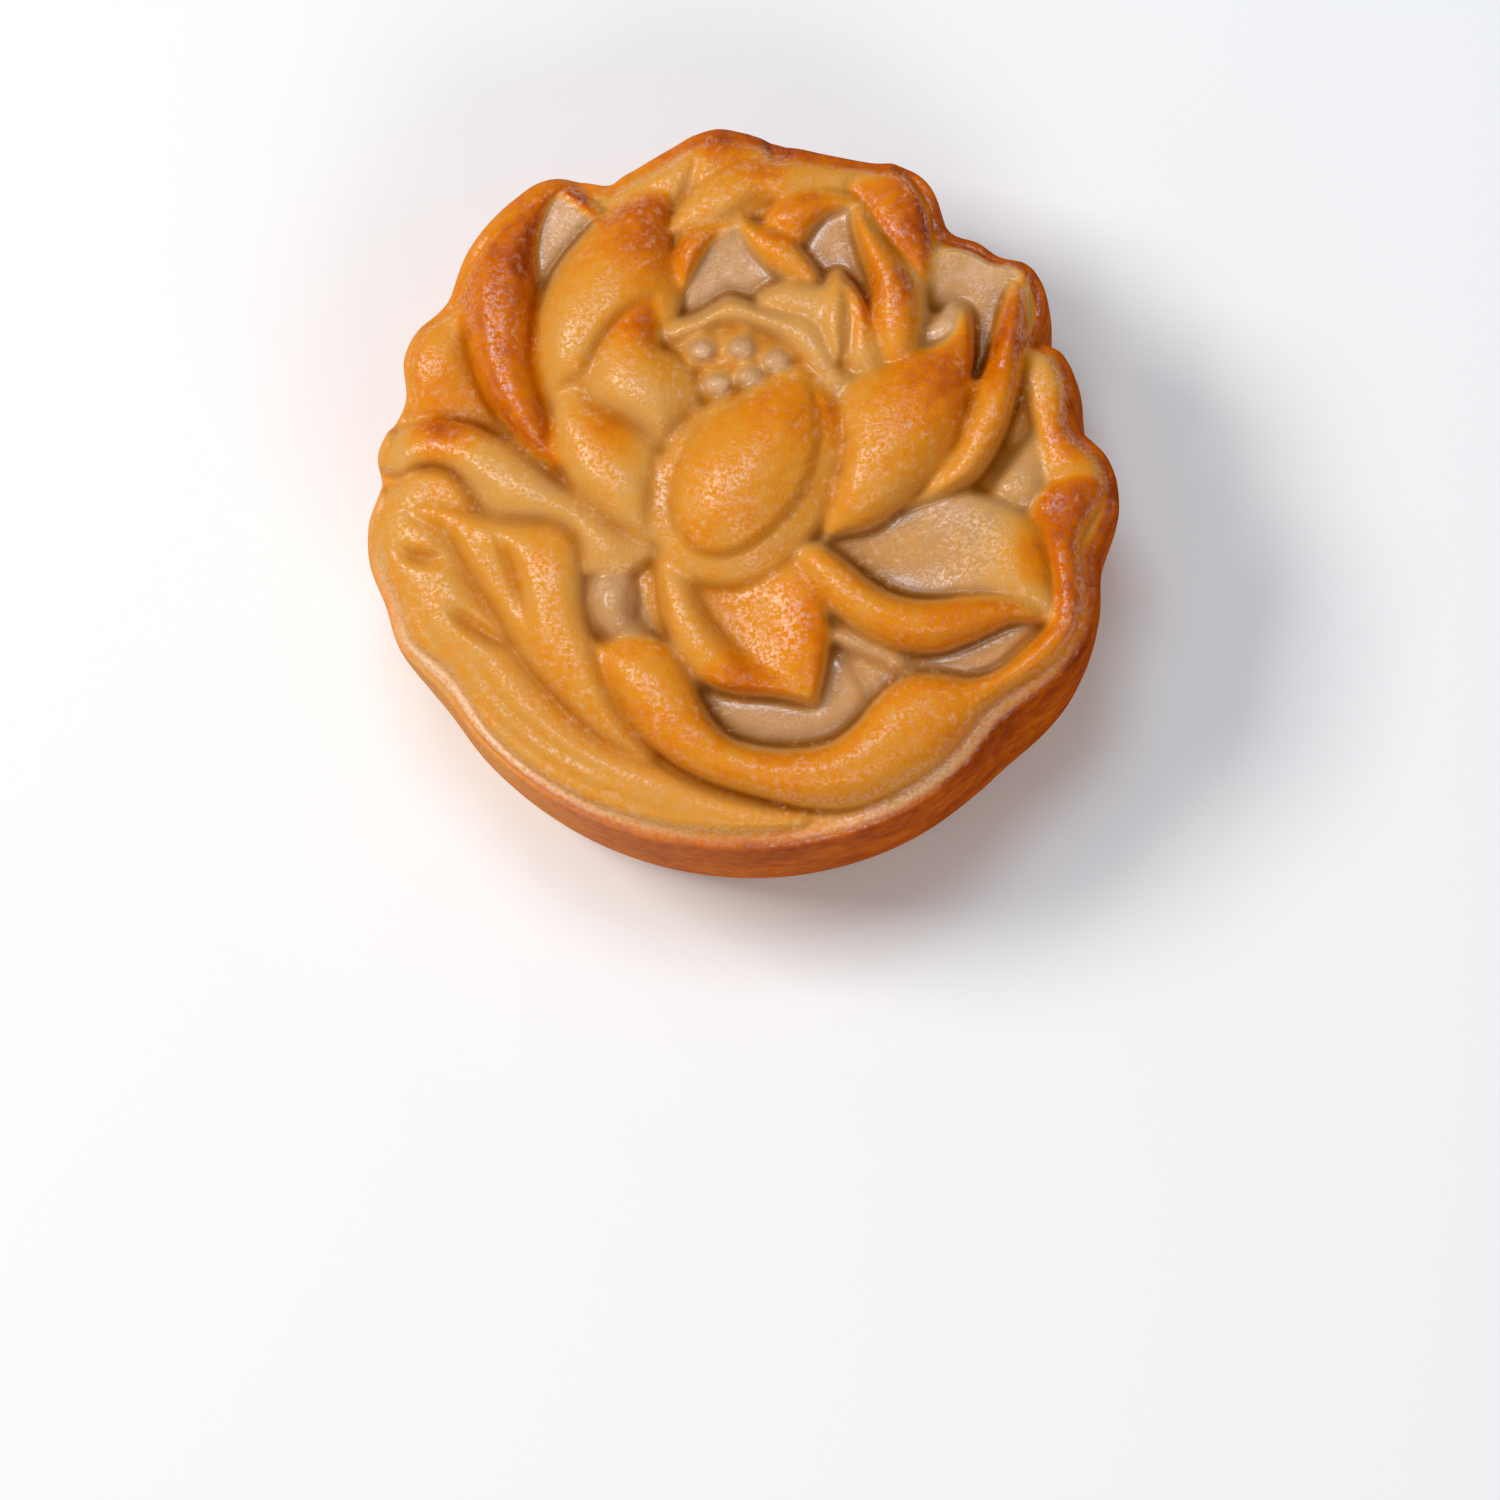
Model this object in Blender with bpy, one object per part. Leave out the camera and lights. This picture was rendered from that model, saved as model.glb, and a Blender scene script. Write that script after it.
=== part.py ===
"""A baked lotus seed mooncake: a round cake with a scalloped edge and a lotus in relief on its top.

The cake lies flat with the relief up. The origin is the middle of its flat bottom, +Z is up, and +Y points
to the top of the picture that the relief makes. The relief is laid out in millimetres from the cake's
middle, and heights in it are above the low rim that runs round the top.
"""
import bpy
import numpy as np

MM = 0.001

# the cake's body
RIM_HEIGHT = 28.0
DOME_RISE = 3.4
DOME_POWER = 0.75
GROUND = 0.3
CORNER_RADIUS = 0.5
LIFT_DEPTH = 5.0
BELLY_OUT = 0.5
BELLY_POWER = 0.8
BULGE_OUT = 1.1
BULGE_ANGLE = 325.0
BULGE_SPREAD = 11.0
TAPER = 0.7
FOOT_RADIUS = 2.0
SCALLOP_FADE = 0.55
SCALLOP_RATE = 1.6

# the bead that borders the leaf, between these two angles
BEAD_RISE = 0.5
BEAD_FROM = 183.0
BEAD_TO = 346.0
BEAD_FADE = 9.0
BEAD_EDGE = 0.3

# how the relief's forms are worked out
RIM_SOFTNESS = 0.15
CREST_SOFTNESS = 5.0
CREASE_REACH = 0.7
ROUNDNESS = 2.6
EDGE_ROUNDING = 0.7
CREASE_ROUNDING = 0.9
CREASE_DEPTH = 0.8

# the relief is drafted towards a point far above the cake, and its plan is slightly long
PLAN_STRETCH = 1.015
DRAFT_POINT = (28.3, -133.2)
DRAFT_HEIGHT = 790.3

# how finely the surface is worked out, and how far it is thinned afterwards
TOP_CELLS = 160
CORNER_ROWS = 3
BODY_ROWS = 7
FOOT_ROWS = 3
SOFTENING_PASSES = 1
KEPT_SHARE = 0.168

# crests and notches of the top face's edge: angle in degrees, radius
EDGE = (
    (-2.0, 36.9), (5.0, 36.0), (11.0, 33.4), (19.5, 34.4), (23.5, 34.1), (26.8, 32.6), (31.3, 35.0),
    (35.5, 36.0), (39.4, 35.7), (43.0, 34.3), (47.0, 33.8), (51.2, 32.8), (54.0, 33.1), (57.4, 35.0),
    (61.0, 35.9), (65.0, 35.8), (69.5, 34.9), (80.0, 34.3), (85.8, 34.9), (90.0, 35.6), (93.4, 36.0),
    (96.6, 35.9), (100.0, 35.4), (109.5, 33.9), (114.2, 33.6), (117.2, 34.8), (120.4, 36.0),
    (124.0, 36.7), (128.0, 36.7), (139.0, 36.2), (147.5, 35.2), (153.0, 36.2), (158.0, 36.3),
    (164.5, 34.8), (170.5, 35.8), (174.0, 36.4), (178.6, 35.9), (185.0, 37.3), (190.0, 37.7),
    (197.0, 37.1), (204.0, 37.2), (209.0, 36.2), (212.5, 35.6), (223.0, 35.6), (237.0, 35.4),
    (261.0, 35.0), (280.0, 35.1), (303.0, 35.1), (311.0, 34.7), (317.5, 34.2), (322.5, 34.7),
    (327.5, 35.7), (332.0, 36.5), (337.0, 36.9), (342.0, 36.6), (350.0, 35.4),
)

# the bead's width: angle in degrees, width
BEAD_WIDTH = (
    (190.0, 0.7), (202.0, 0.85), (209.0, 1.5), (215.0, 1.2), (250.0, 1.2), (280.0, 1.55), (306.0, 2.1),
    (324.0, 2.1), (334.0, 1.3), (345.0, 1.2),
)


def hermite(t, a, b, leave, arrive):
    """Cubic from a to b with the given slopes at its two ends."""
    return ((2 * t**3 - 3 * t**2 + 1) * a + (t**3 - 2 * t**2 + t) * leave
            + (3 * t**2 - 2 * t**3) * b + (t**3 - t**2) * arrive)


def ease(t):
    """0 up to t = 0, 1 from t = 1, and a smooth step between."""
    t = np.clip(t, 0.0, 1.0)
    return t * t * (3.0 - 2.0 * t)


def around(knots, angle):
    """Value at an angle in radians: a cubic through knots of degrees and values, closed round the circle."""
    table = np.array(knots)
    angles = np.concatenate([table[:, 0] - 360.0, table[:, 0], table[:, 0] + 360.0])
    values = np.tile(table[:, 1], 3)
    slopes = np.gradient(values, angles)
    degrees = np.degrees(angle) % 360.0
    i = np.searchsorted(angles, degrees, side="right") - 1
    span = angles[i + 1] - angles[i]
    t = (degrees - angles[i]) / span
    return hermite(t, values[i], values[i + 1], slopes[i] * span, slopes[i + 1] * span)


def curve(points, closed, tips=(), steps=7):
    """Smooth curve through the points, with a corner at each point that tips lists."""
    p = np.array(points, float)
    before, after = np.roll(p, 1, axis=0), np.roll(p, -1, axis=0)
    leave = (after - before) / 2.0
    if not closed:
        leave[0], leave[-1] = p[1] - p[0], p[-1] - p[-2]
    arrive = leave.copy()
    for k in tips:
        leave[k], arrive[k] = after[k] - p[k], p[k] - before[k]
    t = (np.arange(steps) / steps)[:, None]
    runs = range(len(p) if closed else len(p) - 1)
    parts = [hermite(t, p[i], after[i], leave[i], np.roll(arrive, -1, axis=0)[i]) for i in runs]
    return np.vstack(parts if closed else parts + [p[-1:]])


class Relief:
    """Heights over the cake's top at given points, built up form by form from the back to the front."""

    CHUNK = 4000

    def __init__(self, x, y):
        self.x, self.y = x, y
        self.height = np.full(len(x), GROUND)
        self.pressed = np.zeros(len(x))

    def near(self, points, margin):
        """Indices of the cake's points that lie round some points, in batches."""
        low, high = points.min(axis=0) - margin, points.max(axis=0) + margin
        found = np.where((self.x > low[0]) & (self.x < high[0]) & (self.y > low[1]) & (self.y < high[1]))[0]
        return np.array_split(found, max(1, len(found) // self.CHUNK))

    def spans(self, batch, start, end):
        """Squared distance from each point of a batch to each straight run, and the share along the run."""
        dx, dy = (end - start)[:, 0], (end - start)[:, 1]
        px = self.x[batch, None] - start[:, 0]
        py = self.y[batch, None] - start[:, 1]
        t = np.clip((px * dx + py * dy) / (dx**2 + dy**2 + 1e-12), 0.0, 1.0)
        return (px - t * dx)**2 + (py - t * dy)**2, t, px * dy - py * dx

    def encloses(self, batch, start, end):
        """Whether a closed outline goes round each point of a batch, by counting crossings to the right."""
        px, py = self.x[batch, None], self.y[batch, None]
        crosses = (start[:, 1] > py) != (end[:, 1] > py)
        rise = end[:, 1] - start[:, 1]
        at = start[:, 0] + (end[:, 0] - start[:, 0]) * (py - start[:, 1]) / np.where(rise == 0.0, 1e-12, rise)
        return np.sum(crosses & (px < at), axis=1) % 2 == 1

    def pull(self, batch, line, softness):
        """Weight and mean height of a line as each point of a batch feels it, by inverse square distance."""
        start, end = line[:-1], line[1:]
        middle = (start + end) / 2.0
        length = np.hypot(*(end - start)[:, :2].T)
        weight = length / ((self.x[batch, None] - middle[:, 0])**2
                           + (self.y[batch, None] - middle[:, 1])**2 + softness)
        return weight.sum(axis=1), (weight * middle[:, 2]).sum(axis=1)

    def petal(self, rim, crests, tips=(), fullness=3.8, wall=0.7, crease=0.5):
        """Lay a petal over what is there: a skin from its rim to its crest lines.

        Rim and crests are points with heights. The skin's height goes from the rim's to the crest's by
        1 - (1 - t)**fullness, where t is the crest's share of the pull. The petal's edge falls to what
        lies behind it over the width of its wall, and presses that down by its crease, less what was
        pressed there before.
        """
        loop = curve(rim, True, tips)
        start, end = loop, np.roll(loop, -1, axis=0)
        ring = np.vstack([loop, loop[:1]])
        lines = [curve(crest, False) for crest in crests]
        for batch in self.near(loop, 2.0 * CREASE_REACH):
            gap = np.sqrt(self.spans(batch, start, end)[0].min(axis=1))
            gap = np.where(self.encloses(batch, start, end), gap, -gap)
            cover = ease(gap / wall + 0.5)
            rim_pull, rim_height = self.pull(batch, ring, RIM_SOFTNESS)
            pulls = [self.pull(batch, line, CREST_SOFTNESS) for line in lines]
            crest_pull = sum(pull for pull, _ in pulls)
            crest_height = sum(height for _, height in pulls) / crest_pull
            rim_height = rim_height / rim_pull
            t = crest_pull / (crest_pull + rim_pull)
            skin = rim_height + (crest_height - rim_height) * (1.0 - (1.0 - t)**fullness)
            press = np.maximum(crease * np.exp(-(gap / CREASE_REACH)**2) - self.pressed[batch], 0.0)
            self.height[batch] = (self.height[batch] - press) * (1.0 - cover) + skin * cover
            self.pressed[batch] = (self.pressed[batch] + press) * (1.0 - cover)

    def along(self, batch, path):
        """Distance to a path of points with a height and a half width, those two there, and the side."""
        line = curve(path, False)
        gap, t, side = self.spans(batch, line[:-1], line[1:])
        i = gap.argmin(axis=1)
        row = np.arange(len(batch))
        here = line[i] + (line[i + 1] - line[i]) * t[row, i, None]
        return np.sqrt(gap[row, i]), here[:, 2], here[:, 3], side[row, i]

    def ridge(self, path, drop=2.5, lean=0.0, fillet=0.4):
        """Raise a rounded ridge along a path, an even hump across that blends into its surroundings.

        Each point of the path has a height and a half width, where the hump is lower by drop. Lean
        makes the side on the path's right steeper and the other side gentler.
        """
        path = np.array(path, float)
        for batch in self.near(path, path[:, 3].max() * 2.0):
            gap, top, width, side = self.along(batch, path)
            share = gap / (width * np.where(side > 0.0, 1.0 - lean, 1.0 + lean))
            before, bump = self.height[batch], top - drop * share**ROUNDNESS
            higher = (before + bump + np.hypot(before - bump, fillet)) / 2.0
            higher -= fillet / 2.0 * np.exp(-((before - bump) / fillet)**2)
            self.height[batch] = np.where(share < 2.0, np.maximum(higher, before), before)

    def groove(self, path):
        """Press a groove along a path whose points have a depth and a half width."""
        path = np.array(path, float)
        for batch in self.near(path, path[:, 3].max() * 2.2):
            gap, depth, width, _ = self.along(batch, path)
            self.height[batch] -= depth * np.exp(-1.5 * (gap / width)**2)

    def seed(self, x, y, length, width, rise):
        """Raise one seed, half an ellipsoid."""
        inside = 1.0 - ((self.x - x) / length)**2 - ((self.y - y) / width)**2
        self.height += rise * np.sqrt(np.clip(inside, 0.0, None))


def back_petals(relief):
    """Lay the petals behind all others along the top edge."""
    # petal behind all others, with its peak at the top edge and a fold below the peak
    relief.petal(
        [(-13.9, 29.5, 1.8), (-10.4, 31.8, 2.0), (-7.4, 33.5, 2.2), (-5.0, 35.0, 2.2), (-2.6, 35.9, 2.2),
         (-0.6, 35.2, 2.2), (2.4, 34.2, 2.0), (3.0, 30.0, 1.0), (-2.0, 25.0, 0.6), (-8.6, 24.6, 0.4),
         (-12.4, 26.6, 0.8)],
        [[(-10.4, 30.0, 2.4), (-7.2, 32.2, 2.8), (-2.8, 34.4, 3.2)]], tips=(4,))
    relief.groove([(-4.7, 34.4, 0.2, 0.5), (-5.1, 32.6, 0.6, 0.7), (-6.2, 29.8, 1.2, 1.3),
                   (-7.4, 27.2, 1.4, 1.3)])
    # long petal that lies along the top edge
    relief.petal(
        [(-7.8, 26.2, 1.6), (-7.4, 27.6, 1.8), (-6.2, 29.4, 2.0), (-4.4, 31.2, 2.2), (-2.0, 32.6, 2.4),
         (1.0, 33.4, 2.4), (4.4, 33.5, 2.4), (8.4, 33.0, 2.2), (12.0, 32.4, 2.2), (15.2, 31.9, 2.2),
         (12.4, 30.8, 1.4), (8.0, 29.6, 0.8), (3.6, 28.2, 0.4), (-0.4, 27.4, 0.8), (-3.0, 26.8, 1.4),
         (-5.6, 26.0, 1.4)],
        [[(-5.8, 27.6, 3.2), (-3.4, 29.6, 3.8), (0.4, 31.4, 3.8), (5.0, 32.0, 3.4), (9.6, 31.8, 2.8)]],
        tips=(9,))
    relief.groove([(-0.6, 28.4, 0.3, 1.0), (1.6, 29.4, 1.1, 1.4), (3.4, 28.8, 1.0, 1.1)])
    # petal at the upper right edge
    relief.petal(
        [(14.9, 32.2, 2.2), (16.6, 31.2, 2.4), (17.8, 29.2, 2.4), (18.5, 27.0, 2.4), (18.9, 24.6, 2.2),
         (19.2, 22.0, 1.6), (18.9, 19.4, 1.0), (17.0, 17.0, 0.8), (13.0, 22.0, 0.4), (11.0, 28.0, 0.8),
         (10.6, 30.6, 1.4), (12.6, 31.8, 1.8)],
        [[(14.4, 30.2, 2.6), (16.0, 28.0, 3.2), (17.2, 25.0, 3.4), (17.9, 22.0, 2.8)]], tips=(0,))


def far_left_petal(relief):
    """Lay the far left petal with its rolled rim, and the petal tucked behind it."""
    # its hollow
    relief.petal(
        [(-18.4, 31.0, 2.0), (-20.6, 29.9, 1.8), (-24.0, 27.0, 1.6), (-27.2, 23.6, 1.6),
         (-28.6, 20.0, 1.6), (-28.6, 16.4, 1.6), (-27.9, 13.2, 1.6), (-26.0, 9.2, 1.4), (-23.2, 5.8, 1.2),
         (-20.2, 3.2, 1.0), (-17.6, 3.2, 0.2), (-18.6, 9.7, -0.4), (-19.9, 15.2, -0.4), (-18.4, 22.2, 0.2),
         (-15.4, 26.2, 1.0), (-14.5, 28.0, 2.0), (-16.0, 29.8, 2.2)],
        [[(-18.0, 28.6, 1.8), (-18.9, 26.4, 1.2), (-20.2, 23.0, 0.2), (-21.2, 18.0, -0.8),
          (-20.6, 11.0, -0.8)]], tips=(0,), fullness=2.4)
    # petal tucked behind it at the left edge, with a deep pocket
    relief.petal(
        [(-28.2, 18.6, 1.4), (-30.6, 17.5, 1.8), (-32.2, 16.3, 2.0), (-33.3, 14.4, 2.0),
         (-33.7, 12.4, 2.0), (-33.2, 10.4, 1.8), (-33.3, 8.8, 1.4), (-32.8, 7.4, 0.8), (-29.4, 6.4, 0.0),
         (-25.0, 5.4, -0.8), (-25.6, 9.2, -0.8), (-27.6, 14.2, 0.4)],
        [[(-31.0, 15.8, 2.8), (-31.6, 12.8, 2.9), (-31.4, 10.0, 2.0)],
         [(-27.6, 11.0, -0.6), (-26.6, 8.0, -1.2)]], fullness=3.0)
    # its rolled rim
    relief.ridge(
        [(-19.3, 30.8, 2.6, 0.8), (-21.0, 29.6, 3.1, 1.5), (-22.9, 27.5, 3.7, 2.3),
         (-24.5, 25.0, 4.2, 3.0), (-25.4, 22.0, 4.4, 3.5), (-25.5, 18.6, 4.5, 3.5),
         (-25.1, 15.4, 4.5, 3.3), (-24.4, 12.2, 4.4, 2.9), (-23.1, 9.2, 4.2, 2.4), (-21.5, 6.6, 3.8, 1.8),
         (-20.0, 4.6, 3.2, 1.3), (-18.8, 3.2, 2.6, 0.8)], drop=3.0, lean=0.15)
    relief.ridge(
        [(-18.6, 30.7, 2.6, 0.6), (-16.9, 29.8, 2.6, 0.7), (-15.6, 28.6, 2.4, 0.6),
         (-14.9, 27.6, 2.0, 0.5)], drop=1.6)


def upper_cups(relief):
    """Lay the two cupped petals above the seed pod."""
    # right cup: hollow, then its left and right rims
    relief.petal(
        [(2.0, 27.0, 2.2), (3.4, 29.0, 2.4), (5.8, 30.0, 2.6), (8.4, 30.4, 2.6), (11.2, 29.6, 2.8),
         (12.6, 27.9, 2.8), (14.3, 25.4, 3.0), (16.3, 23.2, 3.0), (17.8, 20.8, 3.0), (18.3, 18.2, 3.0),
         (18.3, 16.2, 2.6), (17.8, 14.0, 2.2), (14.6, 12.6, 2.0), (12.4, 15.0, 0.6), (7.0, 19.0, 0.2),
         (4.6, 22.6, 0.6), (3.0, 25.4, 1.6)],
        [[(9.2, 27.4, 1.6), (8.8, 24.6, 0.0), (10.2, 21.6, -0.8), (12.2, 18.8, -1.0)]],
        tips=(4,), fullness=3.0)
    relief.petal(
        [(1.9, 27.4, 2.2), (2.7, 28.7, 2.4), (4.4, 29.8, 2.6), (6.6, 30.4, 2.6), (9.0, 30.3, 2.6),
         (11.2, 29.6, 2.8), (9.8, 28.7, 2.2), (8.2, 28.1, 1.8), (6.9, 26.9, 1.6), (5.7, 25.2, 1.6),
         (4.4, 25.4, 1.8), (2.9, 26.4, 2.0)],
        [[(3.4, 27.6, 4.0), (5.6, 28.7, 4.3), (8.6, 29.5, 3.9)]], crease=0.4)
    relief.ridge(
        [(11.2, 29.2, 3.4, 0.5), (11.8, 27.0, 4.0, 1.1), (12.9, 24.8, 4.5, 1.6), (14.3, 22.4, 4.8, 2.1),
         (15.2, 20.0, 4.9, 2.6), (15.2, 17.5, 4.7, 3.0), (15.3, 15.2, 4.2, 2.8), (15.4, 13.2, 3.6, 2.4)],
        drop=3.4)
    # left cup: hollow, then its left and right rims
    relief.petal(
        [(-0.7, 27.8, 2.6), (-2.2, 27.0, 2.4), (-4.0, 26.5, 2.2), (-6.2, 26.1, 2.2), (-6.9, 24.4, 2.0),
         (-6.7, 22.0, 1.8), (-6.2, 18.0, 0.4), (-0.9, 17.0, 0.2), (3.6, 17.5, 0.2), (6.4, 19.6, 0.8),
         (7.4, 21.6, 2.0), (6.4, 23.4, 2.6), (4.4, 25.6, 2.8), (1.6, 26.9, 2.8)],
        [[(-1.4, 25.2, 2.2), (-1.6, 22.0, 0.8), (-1.8, 19.4, -0.4)]], tips=(0,), fullness=2.8)
    relief.ridge(
        [(-1.2, 27.3, 3.0, 0.4), (-3.4, 26.1, 3.2, 0.8), (-5.1, 25.1, 3.6, 1.4), (-6.0, 23.2, 3.4, 1.2),
         (-6.3, 20.8, 2.6, 0.6)], drop=2.0)
    relief.petal(
        [(-0.8, 27.9, 2.8), (1.2, 27.0, 2.8), (3.2, 26.4, 2.8), (4.8, 25.4, 2.8), (6.4, 23.5, 2.6),
         (7.5, 21.4, 2.2), (6.0, 21.1, 1.6), (4.4, 21.6, 1.6), (2.6, 22.6, 1.6), (0.9, 24.3, 2.0),
         (-0.3, 26.2, 2.4)],
        [[(0.6, 26.2, 3.8), (3.2, 24.8, 4.4), (5.6, 22.6, 4.2)]], tips=(0,), crease=0.4)


def seed_pod(relief):
    """Lay the seed pod with its seeds, the ribbon round it and the folded petal behind it."""
    # folded petal that stands behind the pod
    relief.petal(
        [(1.2, 19.2, 2.4), (2.2, 20.4, 2.8), (4.2, 21.2, 3.0), (6.2, 21.0, 3.0), (7.6, 20.9, 3.2),
         (9.2, 21.7, 3.4), (10.6, 21.3, 3.4), (11.8, 19.6, 3.2), (12.7, 17.2, 3.0), (13.5, 14.8, 2.8),
         (13.9, 12.8, 2.6), (12.6, 11.2, 2.4), (10.4, 10.7, 2.0), (8.6, 13.5, 1.4), (5.0, 16.0, 1.4)],
        [[(3.6, 20.0, 3.8), (6.6, 19.4, 3.8), (8.0, 16.4, 3.4)],
         [(10.4, 20.2, 4.6), (11.5, 17.2, 4.8), (12.0, 13.8, 4.4)]], tips=(5,))
    relief.ridge(
        [(9.3, 21.4, 3.9, 0.6), (9.2, 19.4, 4.4, 1.1), (9.0, 17.0, 4.4, 1.1), (9.2, 14.4, 4.0, 0.9)],
        drop=0.9, fillet=0.6)
    relief.groove([(10.2, 20.8, 0.3, 0.7), (10.6, 18.4, 0.8, 0.8), (10.6, 15.6, 0.9, 0.8),
                   (10.5, 12.6, 0.5, 0.8)])
    # the pod's flat top
    relief.petal(
        [(-9.6, 14.6, 1.8), (-8.4, 16.6, 1.8), (-4.4, 17.4, 1.8), (0.1, 17.4, 1.8), (4.4, 16.0, 1.8),
         (9.4, 12.4, 1.8), (9.6, 8.6, 1.8), (1.6, 7.0, 1.6), (-3.4, 6.8, 1.6), (-7.4, 10.0, 1.8)],
        [[(-2.0, 12.5, 2.0), (2.0, 12.0, 2.0)]], crease=0.0)
    for x, y in ((-4.4, 14.4), (-0.4, 14.6), (3.2, 13.3), (-2.8, 11.0), (0.5, 11.8), (4.6, 11.4)):
        relief.seed(x, y, length=1.7, width=1.35, rise=1.4)
    # wavy ribbon round the pod
    relief.petal(
        [(-9.0, 16.2, 2.2), (-7.2, 17.4, 2.4), (-4.9, 18.0, 2.6), (-3.2, 18.9, 3.0), (-1.6, 19.7, 3.2),
         (0.2, 19.3, 3.4), (2.1, 18.5, 3.4), (4.0, 17.9, 3.4), (6.0, 17.5, 3.4), (7.4, 16.4, 3.2),
         (8.2, 14.8, 3.2), (9.0, 13.2, 3.0), (10.6, 11.4, 2.8), (11.4, 9.4, 2.4), (9.2, 8.6, 2.2),
         (7.2, 11.0, 2.0), (6.0, 13.1, 2.0), (4.4, 14.9, 2.0), (2.4, 16.2, 2.0), (0.0, 17.0, 2.0),
         (-2.6, 17.1, 2.0), (-4.8, 16.2, 2.0), (-6.8, 15.6, 2.0), (-8.6, 15.2, 2.0)],
        [[(-7.6, 16.3, 3.2), (-4.4, 17.1, 3.5), (-1.4, 18.4, 4.1), (2.0, 17.5, 4.3), (5.2, 16.4, 4.4),
          (7.0, 14.4, 4.3), (8.4, 11.8, 3.9), (9.8, 10.2, 3.4)]], fullness=4.3)


def left_petals(relief):
    """Lay the tall left petal and the small one in front of it."""
    # tall petal
    relief.petal(
        [(-7.7, 30.4, 2.0), (-10.0, 30.2, 2.2), (-13.0, 28.9, 2.2), (-15.6, 26.7, 2.2), (-17.7, 24.4, 2.2),
         (-19.4, 21.8, 2.2), (-20.5, 19.0, 2.2), (-21.0, 16.0, 2.2), (-21.0, 13.4, 2.2),
         (-20.3, 11.0, 2.2), (-19.2, 8.4, 2.0), (-15.9, 9.0, 2.0), (-12.4, 13.6, 2.2), (-8.6, 16.2, 2.2),
         (-6.6, 18.0, 1.4), (-6.5, 21.4, 1.2), (-7.4, 24.6, 1.4), (-7.7, 27.6, 1.6)],
        [[(-9.4, 28.6, 3.8), (-11.4, 25.4, 4.8), (-14.2, 21.0, 5.3), (-16.8, 16.4, 5.4),
          (-18.2, 12.6, 4.8)]], tips=(0,), fullness=4.2, wall=0.8)
    # small petal in front of it
    relief.petal(
        [(-9.2, 19.7, 3.0), (-11.0, 19.0, 3.0), (-13.0, 17.5, 2.8), (-14.6, 15.4, 2.8), (-15.7, 13.0, 2.8),
         (-16.1, 11.0, 2.8), (-15.7, 9.5, 2.6), (-14.2, 8.3, 2.4), (-12.4, 7.4, 2.4), (-10.8, 6.4, 2.4),
         (-8.2, 4.6, 2.4), (-5.6, 7.6, 2.4), (-4.6, 9.2, 2.4), (-4.6, 10.8, 2.4), (-5.4, 12.6, 2.2),
         (-7.0, 14.0, 2.2), (-8.3, 14.8, 2.2), (-8.9, 16.6, 2.6)],
        [[(-10.0, 18.2, 3.9), (-11.9, 15.6, 4.9), (-12.2, 12.2, 5.7), (-10.2, 9.2, 5.6), (-8.4, 7.2, 4.8)]],
        tips=(0,), fullness=4.2, wall=0.8)
    # lower left petal
    relief.petal(
        [(-17.0, 11.6, 2.8), (-18.7, 10.1, 2.6), (-19.4, 7.8, 2.4), (-19.2, 5.4, 2.4), (-18.4, 2.8, 2.4),
         (-17.2, 0.6, 2.4), (-15.4, -1.4, 2.4), (-13.0, -3.2, 2.4), (-9.0, -5.4, 2.2), (-8.0, -0.8, 2.4),
         (-8.4, 3.8, 2.6), (-9.8, 5.6, 2.4), (-11.4, 6.9, 2.2), (-13.6, 8.1, 2.0), (-15.4, 9.3, 2.2),
         (-16.2, 10.4, 2.4)],
        [[(-17.2, 9.8, 3.7), (-16.8, 6.6, 4.6), (-14.8, 3.2, 5.0), (-12.2, 0.2, 4.9), (-10.6, -2.2, 4.0)]],
        tips=(0,), wall=0.8)


def right_back_petal(relief):
    """Lay the back petal at the right with its long rolled rim."""
    relief.petal(
        [(19.0, 24.2, 1.8), (20.8, 24.6, 2.0), (23.0, 24.0, 2.0), (25.0, 22.9, 2.0), (28.2, 22.1, 2.0),
         (28.6, 16.0, 0.8), (27.4, 8.0, -0.2), (22.4, 7.0, -0.4), (22.0, 14.0, -0.4), (19.6, 17.4, 0.0),
         (18.4, 20.0, 0.4)],
        [[(22.5, 22.8, 1.8), (22.6, 20.2, 0.6), (23.6, 15.0, -1.0), (23.4, 10.0, -1.2)]], fullness=2.4)
    # pale back of the right centre petal's tip
    relief.petal(
        [(21.7, 19.5, 2.8), (19.9, 18.2, 2.6), (18.3, 16.3, 2.4), (18.3, 14.2, 2.2), (20.6, 14.8, 2.6),
         (22.4, 16.8, 2.8)],
        [[(20.8, 17.6, 3.2), (19.6, 15.9, 3.0)]], tips=(0,))
    # rolled rim
    relief.ridge(
        [(28.2, 21.9, 2.8, 0.5), (27.4, 20.0, 3.5, 1.0), (26.9, 17.5, 4.1, 1.4), (26.6, 15.0, 4.5, 1.7),
         (26.2, 12.5, 4.7, 2.0), (25.4, 9.8, 4.9, 2.4), (24.6, 7.4, 4.9, 2.6), (23.5, 5.0, 4.8, 2.5),
         (22.0, 2.9, 4.4, 2.1), (20.2, 1.2, 3.9, 1.6), (18.2, -0.3, 3.3, 1.1), (16.0, -1.7, 2.6, 0.7)],
        drop=3.4)


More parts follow.
